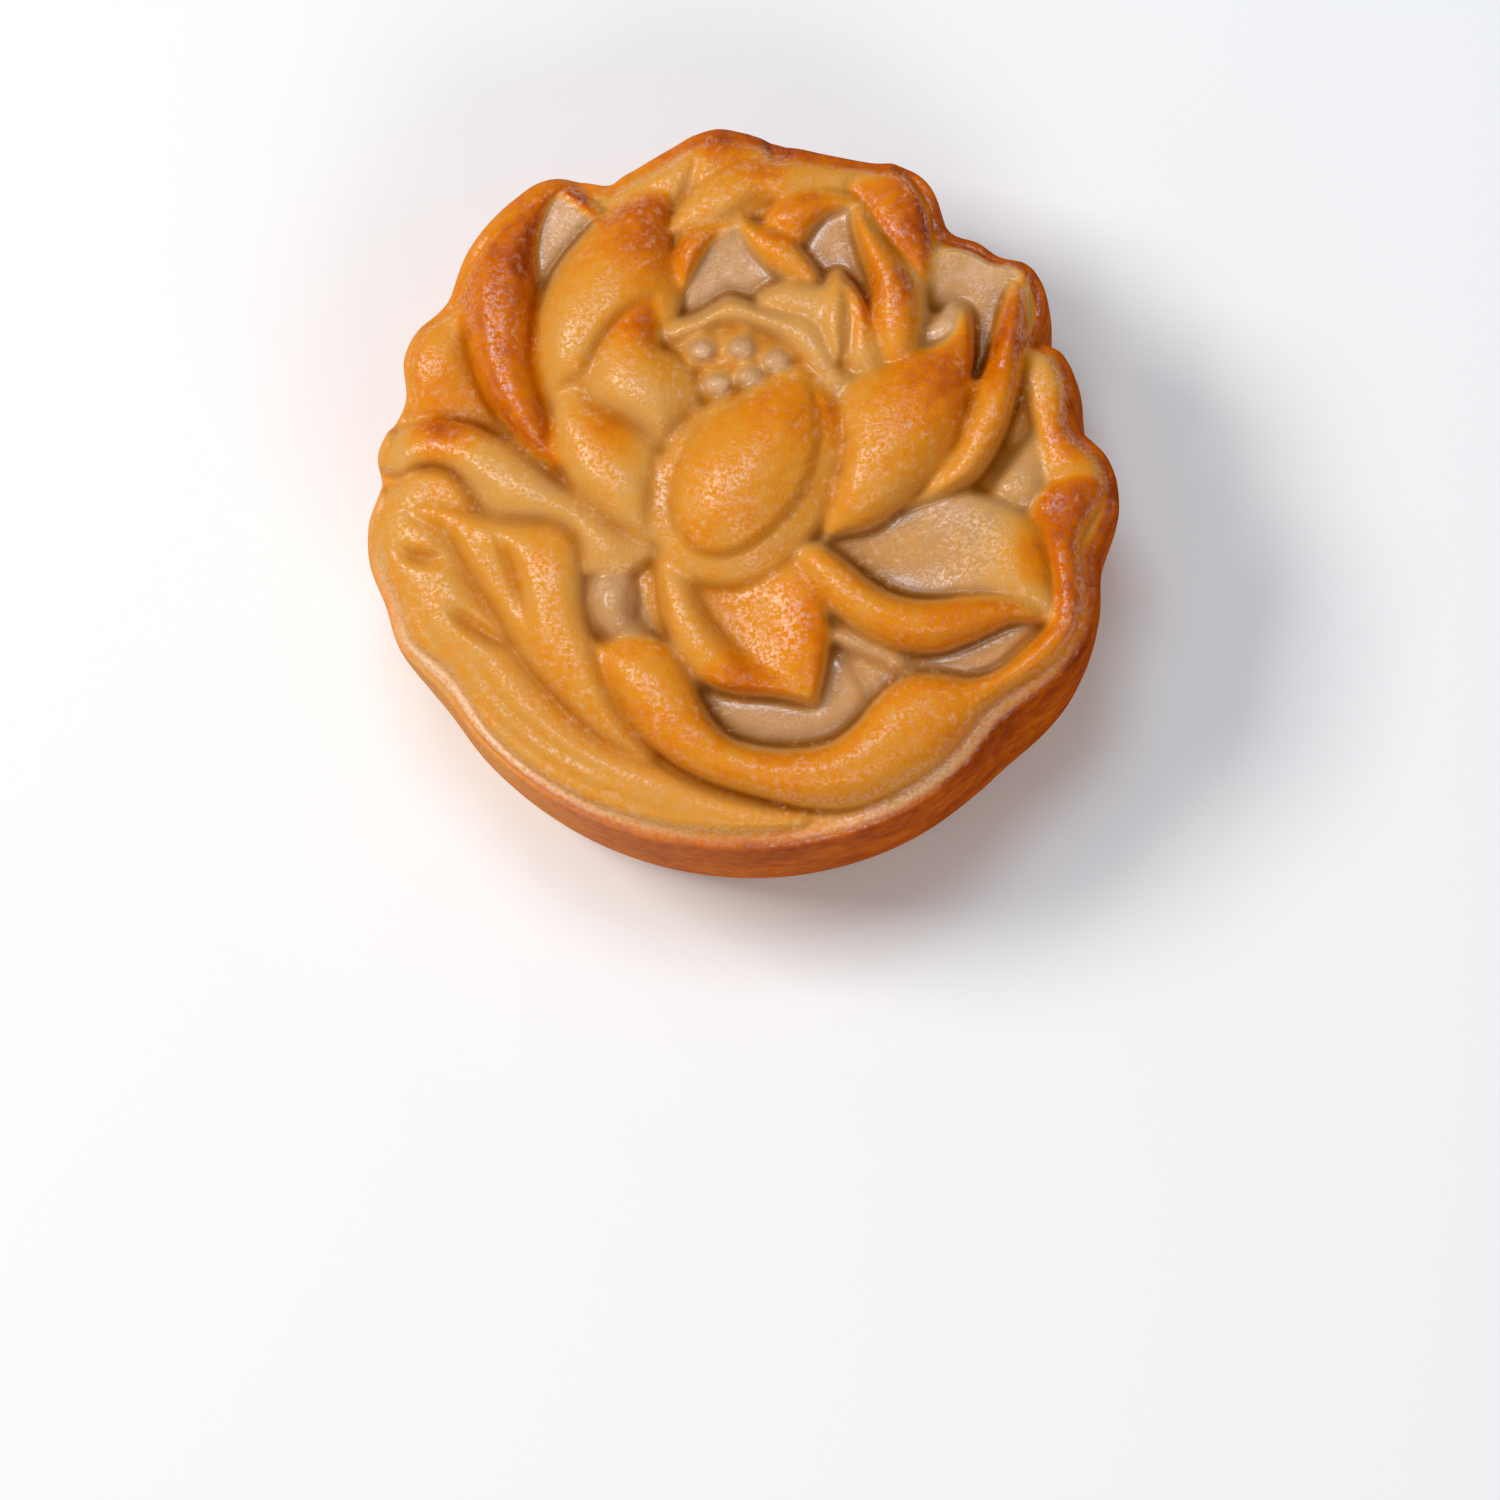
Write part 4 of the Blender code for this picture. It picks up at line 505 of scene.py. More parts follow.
        # folded petal that stands behind the pod
        relief.petal(
            [(1.2, 19.2, 2.4), (2.2, 20.4, 2.8), (4.2, 21.2, 3.0), (6.2, 21.0, 3.0), (7.6, 20.9, 3.2),
             (9.2, 21.7, 3.4), (10.6, 21.3, 3.4), (11.8, 19.6, 3.2), (12.7, 17.2, 3.0), (13.5, 14.8, 2.8),
             (13.9, 12.8, 2.6), (12.6, 11.2, 2.4), (10.4, 10.7, 2.0), (8.6, 13.5, 1.4), (5.0, 16.0, 1.4)],
            [[(3.6, 20.0, 3.8), (6.6, 19.4, 3.8), (8.0, 16.4, 3.4)],
             [(10.4, 20.2, 4.6), (11.5, 17.2, 4.8), (12.0, 13.8, 4.4)]],
            Bake(0.34, 0.68, 12.8, 18.5, 2.2), tips=(5,))
        relief.ridge(
            [(9.3, 21.4, 3.9, 0.6), (9.2, 19.4, 4.4, 1.1), (9.0, 17.0, 4.4, 1.1), (9.2, 14.4, 4.0, 0.9)],
            Bake(0.34), drop=0.9, fillet=0.6)
        relief.groove([(10.2, 20.8, 0.3, 0.7), (10.6, 18.4, 0.8, 0.8), (10.6, 15.6, 0.9, 0.8),
                       (10.5, 12.6, 0.5, 0.8)])
        # the pod's flat top
        relief.petal(
            [(-9.6, 14.6, 1.8), (-8.4, 16.6, 1.8), (-4.4, 17.4, 1.8), (0.1, 17.4, 1.8), (4.4, 16.0, 1.8),
             (9.4, 12.4, 1.8), (9.6, 8.6, 1.8), (1.6, 7.0, 1.6), (-3.4, 6.8, 1.6), (-7.4, 10.0, 1.8)],
            [[(-2.0, 12.5, 2.0), (2.0, 12.0, 2.0)]], Bake(0.42), crease=0.0)
        for x, y in ((-4.4, 14.4), (-0.4, 14.6), (3.2, 13.3), (-2.8, 11.0), (0.5, 11.8), (4.6, 11.4)):
            relief.seed(x, y, length=1.7, width=1.35, rise=1.4, bake=0.0)
        # wavy ribbon round the pod
        relief.petal(
            [(-9.0, 16.2, 2.2), (-7.2, 17.4, 2.4), (-4.9, 18.0, 2.6), (-3.2, 18.9, 3.0), (-1.6, 19.7, 3.2),
             (0.2, 19.3, 3.4), (2.1, 18.5, 3.4), (4.0, 17.9, 3.4), (6.0, 17.5, 3.4), (7.4, 16.4, 3.2),
             (8.2, 14.8, 3.2), (9.0, 13.2, 3.0), (10.6, 11.4, 2.8), (11.4, 9.4, 2.4), (9.2, 8.6, 2.2),
             (7.2, 11.0, 2.0), (6.0, 13.1, 2.0), (4.4, 14.9, 2.0), (2.4, 16.2, 2.0), (0.0, 17.0, 2.0),
             (-2.6, 17.1, 2.0), (-4.8, 16.2, 2.0), (-6.8, 15.6, 2.0), (-8.6, 15.2, 2.0)],
            [[(-7.6, 16.3, 3.2), (-4.4, 17.1, 3.5), (-1.4, 18.4, 4.1), (2.0, 17.5, 4.3), (5.2, 16.4, 4.4),
              (7.0, 14.4, 4.3), (8.4, 11.8, 3.9), (9.8, 10.2, 3.4)]], Bake(0.27), fullness=4.3)

    def left_petals(self, relief: Relief) -> None:
        """Lay the tall left petal and the small one in front of it.

        Args:
            relief: what lies below, which the forms are laid on.
        """
        # tall petal
        relief.petal(
            [(-7.7, 30.4, 2.0), (-10.0, 30.2, 2.2), (-13.0, 28.9, 2.2), (-15.6, 26.7, 2.2),
             (-17.7, 24.4, 2.2), (-19.4, 21.8, 2.2), (-20.5, 19.0, 2.2), (-21.0, 16.0, 2.2),
             (-21.0, 13.4, 2.2), (-20.3, 11.0, 2.2), (-19.2, 8.4, 2.0), (-15.9, 9.0, 2.0),
             (-12.4, 13.6, 2.2), (-8.6, 16.2, 2.2), (-6.6, 18.0, 1.4), (-6.5, 21.4, 1.2),
             (-7.4, 24.6, 1.4), (-7.7, 27.6, 1.6)],
            [[(-9.4, 28.6, 3.8), (-11.4, 25.4, 4.8), (-14.2, 21.0, 5.3), (-16.8, 16.4, 5.4),
              (-18.2, 12.6, 4.8)]], Bake(0.44, 0.78, -8.8, 28.4, 7.5), tips=(0,), fullness=4.2, wall=0.8)
        # small petal in front of it
        relief.petal(
            [(-9.2, 19.7, 3.0), (-11.0, 19.0, 3.0), (-13.0, 17.5, 2.8), (-14.6, 15.4, 2.8),
             (-15.7, 13.0, 2.8), (-16.1, 11.0, 2.8), (-15.7, 9.5, 2.6), (-14.2, 8.3, 2.4),
             (-12.4, 7.4, 2.4), (-10.8, 6.4, 2.4), (-8.2, 4.6, 2.4), (-5.6, 7.6, 2.4), (-4.6, 9.2, 2.4),
             (-4.6, 10.8, 2.4), (-5.4, 12.6, 2.2), (-7.0, 14.0, 2.2), (-8.3, 14.8, 2.2), (-8.9, 16.6, 2.6)],
            [[(-10.0, 18.2, 3.9), (-11.9, 15.6, 4.9), (-12.2, 12.2, 5.7), (-10.2, 9.2, 5.6),
              (-8.4, 7.2, 4.8)]], Bake(0.34, 0.84, -9.6, 18.2, 4.4), tips=(0,), fullness=4.2, wall=0.8)
        # lower left petal
        relief.petal(
            [(-17.0, 11.6, 2.8), (-18.7, 10.1, 2.6), (-19.4, 7.8, 2.4), (-19.2, 5.4, 2.4),
             (-18.4, 2.8, 2.4), (-17.2, 0.6, 2.4), (-15.4, -1.4, 2.4), (-13.0, -3.2, 2.4),
             (-9.0, -5.4, 2.2), (-8.0, -0.8, 2.4), (-8.4, 3.8, 2.6), (-9.8, 5.6, 2.4), (-11.4, 6.9, 2.2),
             (-13.6, 8.1, 2.0), (-15.4, 9.3, 2.2), (-16.2, 10.4, 2.4)],
            [[(-17.2, 9.8, 3.7), (-16.8, 6.6, 4.6), (-14.8, 3.2, 5.0), (-12.2, 0.2, 4.9),
              (-10.6, -2.2, 4.0)]], Bake(0.36, 0.66, -13.5, 6.4, 3.4), tips=(0,), wall=0.8)

    def right_back_petal(self, relief: Relief) -> None:
        """Lay the back petal at the right with its long rolled rim.

        Args:
            relief: what lies below, which the forms are laid on.
        """
        relief.petal(
            [(19.0, 24.2, 1.8), (20.8, 24.6, 2.0), (23.0, 24.0, 2.0), (25.0, 22.9, 2.0), (28.2, 22.1, 2.0),
             (28.6, 16.0, 0.8), (27.4, 8.0, -0.2), (22.4, 7.0, -0.4), (22.0, 14.0, -0.4),
             (19.6, 17.4, 0.0), (18.4, 20.0, 0.4)],
            [[(22.5, 22.8, 1.8), (22.6, 20.2, 0.6), (23.6, 15.0, -1.0), (23.4, 10.0, -1.2)]],
            Bake(0.2, 0.0, 24.0, 22.4, 3.6), fullness=2.4)
        # pale back of the right centre petal's tip
        relief.petal(
            [(21.7, 19.5, 2.8), (19.9, 18.2, 2.6), (18.3, 16.3, 2.4), (18.3, 14.2, 2.2), (20.6, 14.8, 2.6),
             (22.4, 16.8, 2.8)],
            [[(20.8, 17.6, 3.2), (19.6, 15.9, 3.0)]], Bake(0.02), tips=(0,))
        # rolled rim
        relief.ridge(
            [(28.2, 21.9, 2.8, 0.5), (27.4, 20.0, 3.5, 1.0), (26.9, 17.5, 4.1, 1.4),
             (26.6, 15.0, 4.5, 1.7), (26.2, 12.5, 4.7, 2.0), (25.4, 9.8, 4.9, 2.4), (24.6, 7.4, 4.9, 2.6),
             (23.5, 5.0, 4.8, 2.5), (22.0, 2.9, 4.4, 2.1), (20.2, 1.2, 3.9, 1.6), (18.2, -0.3, 3.3, 1.1),
             (16.0, -1.7, 2.6, 0.7)], Bake(0.44, 0.8, 27.6, 15.0, 6.0), drop=3.4)

    def outer_sepals(self, relief: Relief) -> None:
        """Lay the sepals at the right edge, down to the big petal's tip.

        Args:
            relief: what lies below, which the forms are laid on.
        """
        # low ground behind them
        relief.petal(
            [(28.4, 14.4, 1.0), (29.8, 13.0, 1.0), (30.4, 8.0, 0.8), (31.0, 2.0, 0.6), (29.0, -3.0, 0.4),
             (22.4, -0.6, 0.0), (23.6, 1.6, 0.0), (26.0, 6.0, 0.0), (27.6, 11.0, 0.4)],
            [[(28.6, 10.0, 0.8), (28.2, 5.0, 0.2)]], Bake(0.4), crease=0.0)
        # small lobe in the hollow
        relief.petal(
            [(29.3, 6.4, 1.2), (28.0, 5.0, 1.0), (26.4, 3.0, 0.8), (25.0, 1.0, 0.8), (24.6, -0.8, 0.8),
             (26.4, -2.0, 1.0), (28.2, -2.2, 1.2), (29.5, -1.0, 1.4), (30.2, 1.0, 1.4), (30.1, 3.2, 1.4)],
            [[(28.4, 3.2, 2.2), (28.0, 0.2, 2.4), (26.6, -0.6, 1.8)]], Bake(0.2), crease=0.5)
        # upper sepal
        relief.petal(
            [(28.4, 14.5, 1.8), (30.0, 14.4, 2.2), (31.1, 12.8, 2.4), (31.8, 10.8, 2.4), (31.9, 8.4, 2.4),
             (32.1, 6.5, 2.4), (33.2, 5.2, 2.4), (34.5, 4.1, 2.4), (35.4, 2.6, 2.4), (35.8, 0.8, 2.4),
             (34.0, -0.6, 1.8), (31.6, -0.8, 1.6), (30.2, -0.6, 1.4), (30.0, 1.8, 1.4), (29.6, 4.4, 1.2),
             (28.8, 6.8, 1.0), (28.0, 9.4, 0.8), (27.8, 12.2, 1.2)],
            [[(29.6, 12.8, 2.6), (30.3, 9.0, 3.0), (31.0, 5.8, 3.2), (32.8, 3.4, 3.3), (34.6, 1.8, 3.1)]],
            Bake(0.42, 0.85, 33.6, 6.0, 3.2), fullness=2.8, wall=1.0, crease=0.3)

    def left_sepal(self, relief: Relief) -> None:
        """Lay the long sepal that winds in from the left edge, and its curled end.

        Args:
            relief: what lies below, which the forms are laid on.
        """
        # low ground under the curled end
        relief.petal(
            [(-12.0, -6.0, 1.0), (-7.6, -5.0, 1.0), (-7.0, -9.0, 1.0), (-6.4, -15.8, 0.8),
             (-16.4, -15.2, 0.6), (-17.0, -8.0, 0.6)],
            [[(-9.2, -9.0, 1.3), (-8.8, -12.0, 1.3)]], Bake(0.42), crease=0.0)
        # its curled end
        relief.petal(
            [(-15.9, -7.0, 1.0), (-16.2, -9.6, 0.8), (-16.1, -11.6, 0.6), (-15.4, -13.3, 0.6),
             (-13.9, -14.5, 0.6), (-12.0, -14.9, 0.6), (-9.6, -14.8, 0.6), (-7.6, -14.7, 0.6),
             (-8.9, -13.2, 0.6), (-9.9, -11.8, 0.8), (-10.4, -10.2, 0.8), (-10.7, -8.6, 0.8),
             (-11.0, -6.8, 1.0)],
            [[(-13.4, -8.2, 1.4), (-13.6, -10.6, 1.4), (-12.9, -12.4, 1.2), (-9.4, -14.1, 0.8)]],
            Bake(0.12), wall=0.8, crease=0.3)
        relief.ridge(
            [(-13.2, -7.4, 3.0, 2.4), (-13.3, -9.4, 3.5, 2.5), (-13.3, -11.3, 3.6, 2.5),
             (-12.5, -12.9, 3.1, 2.1), (-10.9, -13.9, 2.3, 1.5), (-9.0, -14.5, 1.4, 1.0)],
            Bake(0.12), drop=2.6, fillet=0.3)
        # long sepal
        relief.petal(
            [(-35.9, 2.6, 1.8), (-36.1, 4.4, 2.0), (-35.2, 6.1, 2.2), (-33.8, 7.0, 2.2), (-32.2, 7.5, 2.2),
             (-30.0, 7.5, 2.2), (-27.6, 7.0, 2.2), (-25.6, 6.2, 2.2), (-23.6, 5.1, 2.2), (-21.8, 3.6, 2.0),
             (-19.6, 1.9, 2.0), (-17.4, 0.3, 1.8), (-15.6, -1.0, 1.6), (-13.4, -2.9, 1.8),
             (-11.0, -4.4, 1.8), (-8.6, -5.6, 1.8), (-9.8, -6.7, 1.8), (-11.2, -7.8, 2.0),
             (-13.4, -8.1, 2.2), (-16.0, -7.9, 2.0), (-16.3, -6.0, 1.8), (-17.0, -4.0, 1.8),
             (-19.0, -2.9, 1.8), (-22.0, -2.6, 1.8), (-24.6, -2.4, 1.6), (-26.4, -1.2, 1.4),
             (-27.6, 0.6, 1.4), (-28.9, 2.2, 1.6), (-30.6, 3.0, 1.8), (-32.6, 2.9, 1.8), (-34.4, 1.8, 1.6)],
            [[(-34.2, 4.6, 3.4), (-30.4, 5.2, 4.3), (-26.6, 3.2, 4.6), (-22.6, 0.4, 4.6),
              (-18.8, -1.2, 4.4), (-16.0, -3.8, 4.2), (-13.4, -5.8, 3.8)]],
            Bake(0.32, 0.78, -30.5, 7.6, 3.6), wall=0.8, crease=0.6)

    def pond(self, relief: Relief) -> None:
        """Lay the low ground below the flower, with its stem.

        Args:
            relief: what lies below, which the forms are laid on.
        """
        relief.petal(
            [(-7.0, -14.0, 0.2), (6.0, -10.0, 0.4), (10.0, -12.0, 0.6), (17.0, -15.2, 0.6),
             (25.0, -12.6, 0.8), (28.6, -13.2, 1.2), (26.4, -15.8, 0.8), (24.4, -18.6, 0.4),
             (17.0, -19.2, 0.2), (13.0, -21.0, 0.2), (8.0, -25.4, 0.2), (0.0, -25.4, 0.2),
             (-4.6, -22.0, 0.2)],
            [[(2.0, -21.6, 0.2), (8.0, -20.4, 0.4)],
             [(14.0, -17.4, 0.8), (22.0, -16.6, 0.4), (26.0, -14.6, 1.2)]],
            Bake(0.15), fullness=2.4, wall=1.2, crease=0.0)
        relief.ridge(
            [(8.4, -13.7, 2.2, 0.7), (11.0, -14.9, 2.4, 0.9), (14.0, -16.2, 2.2, 0.9),
             (16.6, -17.4, 1.4, 0.8)], Bake(0.14), drop=1.2)
        relief.groove([(8.6, -15.4, 0.3, 0.4), (11.0, -15.8, 0.6, 0.5), (13.6, -17.2, 0.4, 0.5)])
        relief.groove([(8.8, -15.4, 0.2, 0.5), (10.6, -17.0, 0.6, 0.6), (11.8, -19.0, 0.6, 0.6),
                       (12.4, -20.6, 0.2, 0.5)])

    def leaf_blade(self, relief: Relief) -> None:
        """Lay the leaf with its midrib and nicks.

        Args:
            relief: what lies below, which the forms are laid on.
        """
        # outer part of the blade, which runs out under the bead
        relief.petal(
            [(-37.6, -1.0, 1.2), (-35.9, 0.4, 1.8), (-34.6, 1.4, 2.0), (-33.0, 2.3, 2.0),
             (-31.4, 2.5, 2.0), (-29.8, 2.1, 2.0), (-28.5, 0.9, 1.8), (-27.6, -0.6, 1.8),
             (-26.4, -1.9, 1.8), (-24.8, -2.7, 1.8), (-20.0, -10.0, 1.8), (-14.0, -20.0, 1.8),
             (-8.0, -27.0, 1.8), (1.6, -31.0, 1.6), (9.0, -32.0, 1.2), (15.0, -31.8, 0.8),
             (8.0, -35.2, 0.5), (-2.4, -36.0, 0.5), (-12.0, -34.2, 0.5), (-18.6, -31.4, 0.5),
             (-26.2, -25.6, 0.5), (-32.6, -17.4, 0.6), (-36.4, -9.6, 0.8), (-38.0, -4.6, 1.0)],
            [[(-32.4, -0.4, 3.3), (-33.0, -4.6, 3.0), (-30.8, -10.6, 3.0), (-26.6, -16.6, 2.9),
              (-21.4, -22.4, 2.8), (-14.6, -27.6, 2.7), (-6.0, -31.0, 2.4), (1.0, -32.6, 2.0)]],
            Bake(0.42), fullness=3.0, crease=0.0)
        relief.groove([(-34.6, -5.3, 0.4, 0.6), (-33.2, -6.0, 1.5, 0.8), (-31.6, -6.3, 1.5, 0.8),
                       (-29.9, -6.0, 0.4, 0.6)])
        relief.groove([(-29.4, -11.4, 0.4, 0.7), (-28.0, -12.4, 1.5, 0.9), (-26.4, -13.5, 1.6, 0.9),
                       (-25.0, -14.4, 1.2, 0.8), (-23.6, -15.0, 0.4, 0.6)])
        relief.groove([(-33.6, -9.8, 0.1, 0.6), (-30.4, -15.6, 0.3, 0.7), (-26.0, -21.2, 0.3, 0.7),
                       (-20.4, -26.0, 0.3, 0.7), (-13.6, -29.8, 0.3, 0.7), (-5.6, -32.2, 0.1, 0.6)])
        relief.groove([(-28.0, -15.4, 0.1, 0.6), (-24.2, -20.6, 0.4, 0.7), (-18.8, -25.2, 0.4, 0.7),
                       (-12.4, -28.6, 0.1, 0.6)])
        # inner part with the midrib, which stands above the outer part's slope
        relief.groove([(-32.6, -2.2, 0.2, 1.2), (-29.8, -4.2, 0.9, 1.9), (-27.0, -8.2, 1.4, 2.2),
                       (-23.8, -13.4, 1.5, 2.2), (-20.2, -18.4, 1.4, 2.2), (-16.4, -22.6, 1.3, 2.0),
                       (-12.2, -25.4, 0.9, 1.7), (-8.6, -26.8, 0.3, 1.4)])
        relief.petal(
            [(-33.4, -1.6, 2.8), (-31.4, -2.4, 2.4), (-29.4, -4.0, 2.0), (-27.9, -6.6, 1.6),
             (-26.2, -9.4, 1.4), (-24.4, -12.2, 1.3), (-22.9, -15.0, 1.3), (-21.2, -17.4, 1.3),
             (-19.0, -19.8, 1.3), (-16.4, -22.4, 1.3), (-13.9, -24.4, 1.4), (-11.2, -25.8, 1.4),
             (-9.0, -26.4, 1.4), (-8.6, -24.6, 1.6), (-10.4, -21.6, 2.0), (-12.0, -18.6, 2.6),
             (-13.0, -16.4, 3.0), (-14.2, -14.9, 2.4), (-15.4, -13.6, 2.0), (-16.1, -11.0, 2.2),
             (-16.3, -8.4, 2.2), (-16.6, -6.2, 2.2), (-17.5, -4.2, 2.2), (-19.2, -3.2, 2.2),
             (-21.6, -2.9, 2.0), (-24.8, -2.6, 2.0), (-27.0, -2.2, 2.4), (-29.6, -1.2, 2.8),
             (-31.8, -0.8, 3.0)],
            [[(-30.0, -2.4, 3.6), (-27.0, -5.0, 3.5), (-24.4, -9.6, 3.4)],
             [(-20.4, -5.6, 4.2), (-19.2, -9.6, 4.5), (-18.8, -13.6, 4.6), (-17.0, -18.0, 4.7),
              (-14.4, -21.2, 4.4), (-11.6, -24.2, 3.4)]], Bake(0.46), wall=0.6, crease=0.5)
        relief.groove([(-24.7, -4.2, 0.3, 0.6), (-23.9, -6.0, 1.4, 1.0), (-23.2, -8.2, 1.7, 1.0),
                       (-22.5, -10.4, 1.3, 0.9), (-21.9, -12.6, 0.4, 0.8)])
        relief.groove([(-27.4, -3.6, 0.1, 0.5), (-25.8, -6.0, 0.5, 0.6), (-24.2, -9.4, 0.5, 0.6),
                       (-22.8, -12.8, 0.1, 0.5)])

    def leaf_edge(self, relief: Relief) -> None:
        """Lay the leaf's rolled edge, which sweeps along the bottom.

        Args:
            relief: what lies below, which the forms are laid on.
        """
        relief.groove([(-14.6, -16.8, 0.2, 1.0), (-13.0, -20.0, 0.9, 1.5), (-10.8, -23.4, 1.3, 1.8),
                       (-7.4, -26.4, 1.4, 1.8), (-3.6, -28.4, 1.2, 1.7), (1.6, -30.0, 0.9, 1.4),
                       (6.4, -31.2, 0.5, 1.2)])
        relief.petal(
            [(-15.0, -15.4, 2.2), (-13.2, -14.5, 2.2), (-11.0, -14.1, 2.4), (-8.8, -14.4, 2.4),
             (-7.3, -15.5, 2.4), (-6.1, -17.1, 2.2), (-5.1, -18.9, 2.2), (-4.3, -20.6, 2.2),
             (-3.2, -22.5, 2.2), (-1.4, -24.2, 2.2), (1.0, -25.0, 2.2), (4.0, -25.4, 2.2),
             (7.0, -25.2, 2.2), (9.2, -24.4, 2.2), (11.2, -22.8, 2.2), (13.0, -20.7, 2.2),
             (14.8, -19.1, 2.2), (17.0, -18.2, 2.2), (19.4, -18.1, 2.2), (22.6, -18.5, 2.0),
             (25.4, -17.6, 1.6), (28.0, -15.6, 1.4), (30.2, -13.2, 1.4), (30.9, -10.0, 1.6),
             (30.5, -7.0, 1.6), (29.9, -4.2, 1.6), (28.7, -2.2, 1.8), (29.2, -0.9, 2.2), (30.4, 0.4, 2.6),
             (32.0, 1.3, 2.8), (34.0, 1.7, 2.8), (35.6, 1.7, 2.6), (35.9, 0.2, 2.4), (35.3, -1.4, 2.2),
             (34.2, -2.9, 2.0), (33.5, -4.6, 1.8), (33.6, -7.0, 1.8), (33.9, -9.8, 1.8),
             (33.6, -12.6, 1.8), (32.4, -15.0, 1.8), (30.4, -17.0, 1.8), (27.6, -18.8, 1.8),
             (25.2, -20.6, 1.8), (23.2, -22.8, 1.8), (21.0, -25.2, 1.8), (18.4, -27.4, 1.8),
             (15.0, -29.4, 1.8), (11.0, -31.0, 1.6), (6.4, -31.2, 1.4), (1.6, -30.2, 1.2),
             (-3.2, -28.8, 1.2), (-7.0, -26.9, 1.2), (-10.2, -24.2, 1.2), (-12.3, -21.2, 1.4),
             (-13.7, -18.6, 2.2)],
            [[(-12.6, -16.6, 4.2), (-9.8, -19.8, 5.2), (-6.8, -23.6, 5.5), (-2.2, -26.8, 5.5),
              (4.0, -28.2, 5.4), (10.0, -27.2, 5.2), (14.6, -24.4, 5.0), (18.6, -21.8, 4.8),
              (22.6, -20.3, 4.2), (26.6, -17.9, 3.6), (29.8, -15.6, 3.4), (31.8, -12.8, 3.3),
              (32.4, -9.4, 3.2), (32.2, -6.0, 3.2), (32.3, -3.0, 3.4), (33.4, -0.6, 3.7)]],
            Bake(0.54, 0.84, 34.0, -4.0, 12.0), tips=(31,), fullness=4.3, wall=0.8)

    def big_petal(self, relief: Relief) -> None:
        """Lay the big right petal: a bowl with a rounded outer rim, and its rolled lip.

        Args:
            relief: what lies below, which the forms are laid on.
        """
        relief.petal(
            [(4.5, -5.6, 1.6), (8.1, -3.8, 1.0), (10.6, -3.2, 0.8), (13.6, -2.4, 0.8), (18.6, -0.6, 1.2),
             (22.4, 0.0, 1.8), (25.0, -0.6, 2.0), (27.4, -1.9, 2.2), (29.2, -3.7, 2.2), (30.1, -6.0, 2.2),
             (30.4, -8.6, 2.2), (30.9, -11.0, 2.2), (30.7, -12.9, 2.2), (25.6, -13.0, 1.6),
             (20.6, -14.8, 1.4), (15.6, -15.0, 1.4), (12.1, -13.6, 1.4), (9.6, -12.0, 1.4),
             (7.4, -9.8, 1.6), (5.4, -7.8, 1.8)],
            [[(9.0, -5.2, 0.4), (12.0, -7.0, -0.4), (15.5, -8.2, -0.6), (19.0, -7.6, 0.2)],
             [(22.0, -2.4, 2.6), (25.6, -3.8, 3.3), (27.8, -6.6, 3.6), (28.8, -9.8, 3.5)]],
            Bake(0.18, 0.74, 29.8, -6.0, 4.2), tips=(12,), fullness=3.0, crease=0.6)
        relief.petal(
            [(4.2, -6.4, 2.2), (5.4, -5.4, 2.4), (7.2, -4.9, 2.4), (8.8, -5.8, 2.4), (10.6, -7.2, 2.6),
             (12.4, -8.7, 2.8), (14.4, -9.9, 2.8), (16.8, -10.6, 2.8), (19.6, -10.7, 2.8),
             (22.4, -10.4, 2.8), (25.2, -10.4, 2.8), (27.6, -10.9, 2.8), (29.2, -11.7, 2.8),
             (30.9, -12.9, 2.6), (28.6, -12.7, 2.4), (26.6, -12.9, 2.2), (24.6, -13.8, 2.0),
             (22.4, -14.8, 2.0), (20.2, -15.6, 2.0), (18.0, -15.9, 2.0), (15.6, -15.6, 2.0),
             (13.2, -14.8, 2.0), (11.0, -13.6, 2.0), (9.0, -12.0, 2.0), (7.4, -10.2, 2.0),
             (5.6, -8.2, 2.0)],
            [[(6.4, -6.8, 3.8), (9.4, -8.8, 5.0), (12.6, -11.2, 5.6), (16.0, -12.6, 5.8),
              (19.6, -12.6, 5.6), (23.0, -11.9, 4.8), (27.0, -11.6, 3.8)]],
            Bake(0.48, 0.66, 22.0, -10.6, 7.0), tips=(13,), fullness=3.8)

    def bottom_petal(self, relief: Relief) -> None:
        """Lay the bottom petal: its hollow, then its two rolled sides.

        Args:
            relief: what lies below, which the forms are laid on.
        """
        relief.petal(
            [(-8.1, -5.6, 2.0), (-8.3, -9.8, 2.2), (-7.5, -13.4, 2.4), (-5.9, -16.6, 2.4),
             (-3.6, -18.9, 2.4), (-0.6, -19.7, 2.4), (3.2, -20.0, 2.4), (7.1, -20.9, 2.6),
             (7.9, -17.8, 2.4), (8.4, -14.3, 2.4), (7.8, -11.0, 2.4), (6.4, -8.3, 2.2), (4.2, -6.0, 2.0),
             (-1.4, -6.0, 1.6)],
            [[(-3.0, -9.0, 0.8), (-1.2, -12.4, 0.3), (0.4, -15.4, 0.8)],
             [(4.8, -8.8, 3.0), (6.2, -11.6, 3.9), (6.6, -14.8, 4.3), (6.8, -18.4, 4.2)]],
            Bake(0.5, 0.72, 8.0, -14.6, 5.0), tips=(7,), fullness=3.0)
